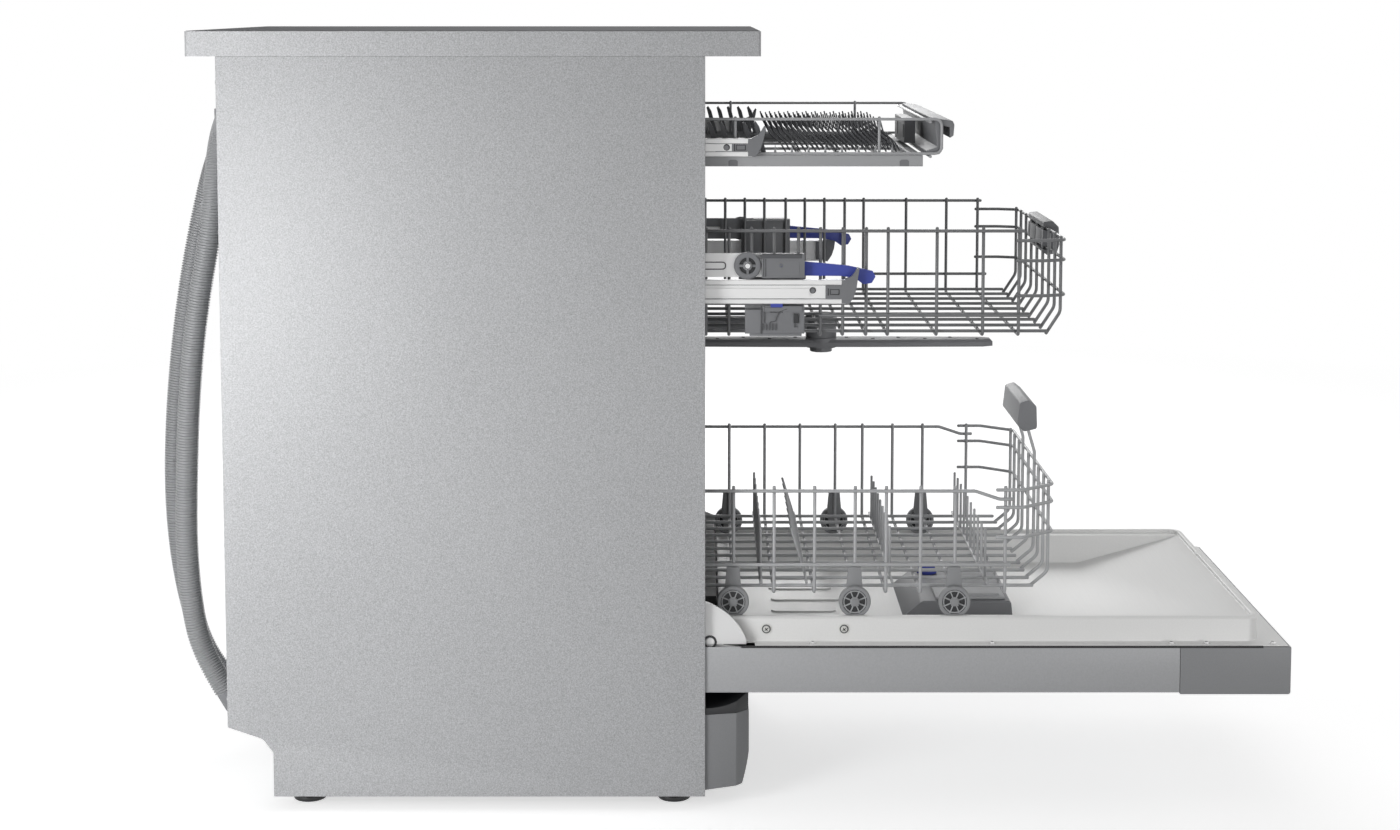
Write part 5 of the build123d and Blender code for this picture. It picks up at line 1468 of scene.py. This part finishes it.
@dataclass
class SlideRail:
    """One pair of C-shaped slide rails with end brackets and curved fins."""

    node: str
    top: float
    drop: float
    front: float
    length: float
    hole_back: float
    hole_lift: float
    outer: float = 203.0
    depth: float = 8.0
    clip_radius: float = 0.5
    rim: tuple[float, ...] = (3.6, 3.4, 0.5)
    hole: tuple[float, ...] = (2.7, 2.6, 0.3)

    def channel(self) -> None:
        """The bright channel with rolled lips and its outer guide rib, and dark strips of painted shade in
        the lips' creases.
        """
        out, low, top, front = self.outer, self.top - self.drop, self.top, self.front
        inner, lip, rear = self.depth - out, 0.8 - out, front - self.length
        section = [(inner, low), (lip, low), (-out, low + 0.8), (-out, low + 4.6), (lip, low + 5.4),
                   (lip, top - 5.6), (-out, top - 4.8), (-out, top - 0.8), (lip, top), (inner, top),
                   (inner, top - 1.6), (2.5 - out, top - 1.6), (2.5 - out, low + 1.6), (inner, low + 1.6)]
        rail = Shape().extrude(section, rear, front, Side.ELEVATION).bevel(0.35)
        middle = top - self.drop / 2
        rail.box((-out - 1.8, -out), (rear, front - 40), (middle - 4, middle + 4))
        rail.mirrored().piece(self.node + "_channels", BRIGHT_STEEL, self.node, (self.node,), 30)
        # Darker strips of painted shade along the creases where each rolled lip meets the channel.
        crease_shades = Shape()
        for z in (low + 5.2, top - 5.9):
            crease_shades.box((0.55 - out, 1.0 - out), (rear, front - 6), (z, z + 0.7))
        crease_shades.mirrored().piece(self.node + "_grooves", MID_PLASTIC, self.node)

    def ends(self) -> None:
        """The moulded end cap with its fin and clip, and the hole near the end of the channel."""
        out, low, top, f = self.outer, self.top - self.drop, self.top, self.front
        fin = [(f - 1, low + 0.2), (f + 2.4, low - 0.8), (f + 4.6, low + 2.2), (f + 8, low + 7.5),
               (f + 10.8, low + 16), (f + 12.6, top + 4), (f + 14, top + 12), (f + 12.6, top + 13.3),
               (f + 11, top + 11.5), (f + 9, top + 7.6), (f + 5.6, top + 3.4), (f - 1, top + 0.8)]
        cap = Shape().extrude(fin, -out, -out + self.depth).bevel(0.9, 2)
        cap.box((-out + 2.6, -out + self.depth), (f - 12, f), (low + 1.7, top - 1.7))
        cap.box((-out - 0.15, -out + 0.4), (f - 5.6, f + 1), (low + 0.4, top - 0.2))
        cap.box((-out - 0.1, -out + 1.0), (f - 22.5, f - 5), (low + 5.8, top - 6.0))
        cap.mirrored().piece(self.node + "_caps", MID_PLASTIC, self.node, smooth=30)
        middle = (low + top) / 2
        # The clip is drawn as dark lines of painted shade in the cuts that outline it.
        clip, x = WireWork(self.clip_radius), -out - 0.2
        for points in (
            [(8, -2.6), (8, 2.6), (17.5, 2.6), (17.5, -2.6), (8.2, -2.6)], [(19.6, 3.6), (19.6, -3.6)],
        ):
            clip.both([(x, f - back, middle + up) for back, up in points])
        clip.piece(self.node + "_clips", RECESS_SHADE, self.node)
        beads = Shape()
        for z in (low + 0.5, top - 4.9):
            beads.box((x, -out + 0.6), (f - 13.5, f - 5.2), (z, z + 4.3))
        beads.bevel(0.25).mirrored().piece(self.node + "_beads", BRIGHT_STEEL, self.node)
        # Each hole is a dark peg of painted shade with a smaller mid-grey peg on it.
        back, up = f - self.hole_back, middle + self.hole_lift
        for name, finish, sizes, inset, aside, down in (
            ("_hole_rims", RECESS_SHADE, self.rim, 0.9, 0.0, 0.0),
            ("_holes", MID_PLASTIC, self.hole, 0.5, 0.4, 0.3),
        ):
            places = outwards(out - inset, back - aside, up - down)
            STUDS.piece(self.node + name, StudKind.PEG, places, sizes, finish, self.node)

    def build(self) -> None:
        """Makes the pair."""
        self.channel()
        self.ends()


@dataclass
class CutleryTray:
    """The shallow top tray: wires, ribbed floor, combs and grip."""

    wire: float = 1.6
    half: float = 192.0
    rear: float = -200.0
    front: float = 254.0
    high: float = 750.0
    low: float = 713.0
    base: float = 711.2
    finger: float = 0.95
    finger_rows: int = 11
    row_pitch: float = 25.0
    fingers: int = 12
    finger_pitch: float = 11.0
    blades: int = 20
    blade_pitch: float = 12.5

    def wires(self) -> None:
        """The tray's frame of coated wires."""
        half, r = self.half, self.wire
        work = WireWork(r)
        for x in (-half, half):
            work.run([(x, self.rear, self.high), (x, self.front, self.high), (x, self.front, self.low),
                      (x, self.rear, self.low)], 8)
        for z in (self.high, self.low):
            for f in (self.rear, self.front - 12):
                work.run([(-half - r, f, z - 2 * r), (half + r, f, z - 2 * r)])
        for f in (-122, 32.5, 187.2):
            work.both([(-half + 2 * r, f, self.base), (-half + 2 * r, f, self.high + 2)])
        work.piece("tray_frame_wires", WIRE_TRAY, "tray", ("tray_wires",))
        shoes = Shape()
        for f in (-140, -50):
            shoes.box((-201.1, -half - r), (f, f + 36), (712.3, 727.9))
        shoes.bevel(1.0, 2).mirrored().piece("tray_shoes", DARK_PLASTIC, "tray")

    def floor(self) -> None:
        """The moulded floor with its slats."""
        soften("cutlery_tray", LIGHT_PLASTIC, 0.5, "tray")

    def combs(self) -> None:
        """The thin leaning fingers that hold the cutlery apart, the blades behind them, and the latch."""
        fingers = WireWork(self.finger)
        fingers.curve.bevel_resolution = 1
        for row in range(self.finger_rows):
            x = self.row_pitch * row - 150
            for step in range(self.fingers):
                f = 74 + self.finger_pitch * (step + 0.5 * (row % 2))
                fingers.run([(x, f + 14, 712.5), (x, f + 9, 721), (x, f - 4, 733), (x, f - 7, 744)], 6)
        fingers.piece("comb_fingers", DARK_PLASTIC, "tray")
        blades = Shape()
        for step in range(self.blades):
            f = -184 + self.blade_pitch * step
            blades.extrude([(f + 7, 713), (f + 12.5, 713), (f + 5, 741), (f + 1, 747), (f - 1, 745)],
                           -180, -172)
        blades.bevel(0.5, 1).mirrored().piece("comb_blades", DARK_PLASTIC, "tray")
        latch = Shape().box((-60, 60), (226, 238.5), (716, 743)).bevel(1.2)
        for x in ((-52, -20), (20, 52)):
            latch.box(x, (225.2, 226.4), (722, 737))
        latch.piece("tray_latch", DARK_PLASTIC, "tray")
        clips = Shape()
        for f in (30, 214):
            clips.extrude([(f - 5, 699.4), (f - 5, 705), (f - 3, 706.4), (f + 3, 706.4), (f + 5, 705),
                           (f + 5, 699.4)], -193.7, -193.2)
        clips.mirrored().piece("tray_clips", MID_PLASTIC, "tray")

    def build(self) -> None:
        """Makes the whole tray."""
        self.wires()
        self.floor()
        self.combs()
        soften("tray_grip", MID_PLASTIC, 0.8, "tray", 3, 50)


def main() -> None:
    """Builds the machine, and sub-assembly by sub-assembly."""
    logging.basicConfig(level=logging.INFO, format="%(name)s: %(message)s")
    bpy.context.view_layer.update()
    assemblies = [
        Studio(), DrainHose(), Casing(), Tub(), SprayArms(), Door(), LowerBasket(), UpperBasket(),
        HeightAdjusters(), SlideRail("upper_rails", 577.5, 26.0, 152.0, 426.0, 36.2, 1.7),
        SlideRail("tray_rails", 729.8, 19.4, 51.0, 330.0, 28.0, 0.2), CutleryTray(),
    ]
    for assembly in assemblies:
        known = set(bpy.data.objects.keys())
        assembly.build()
        for name in sorted(set(bpy.data.objects.keys()) - known):
            LOG.info("%s made %s", type(assembly).__name__, name)


if __name__ == "__main__":
    main()
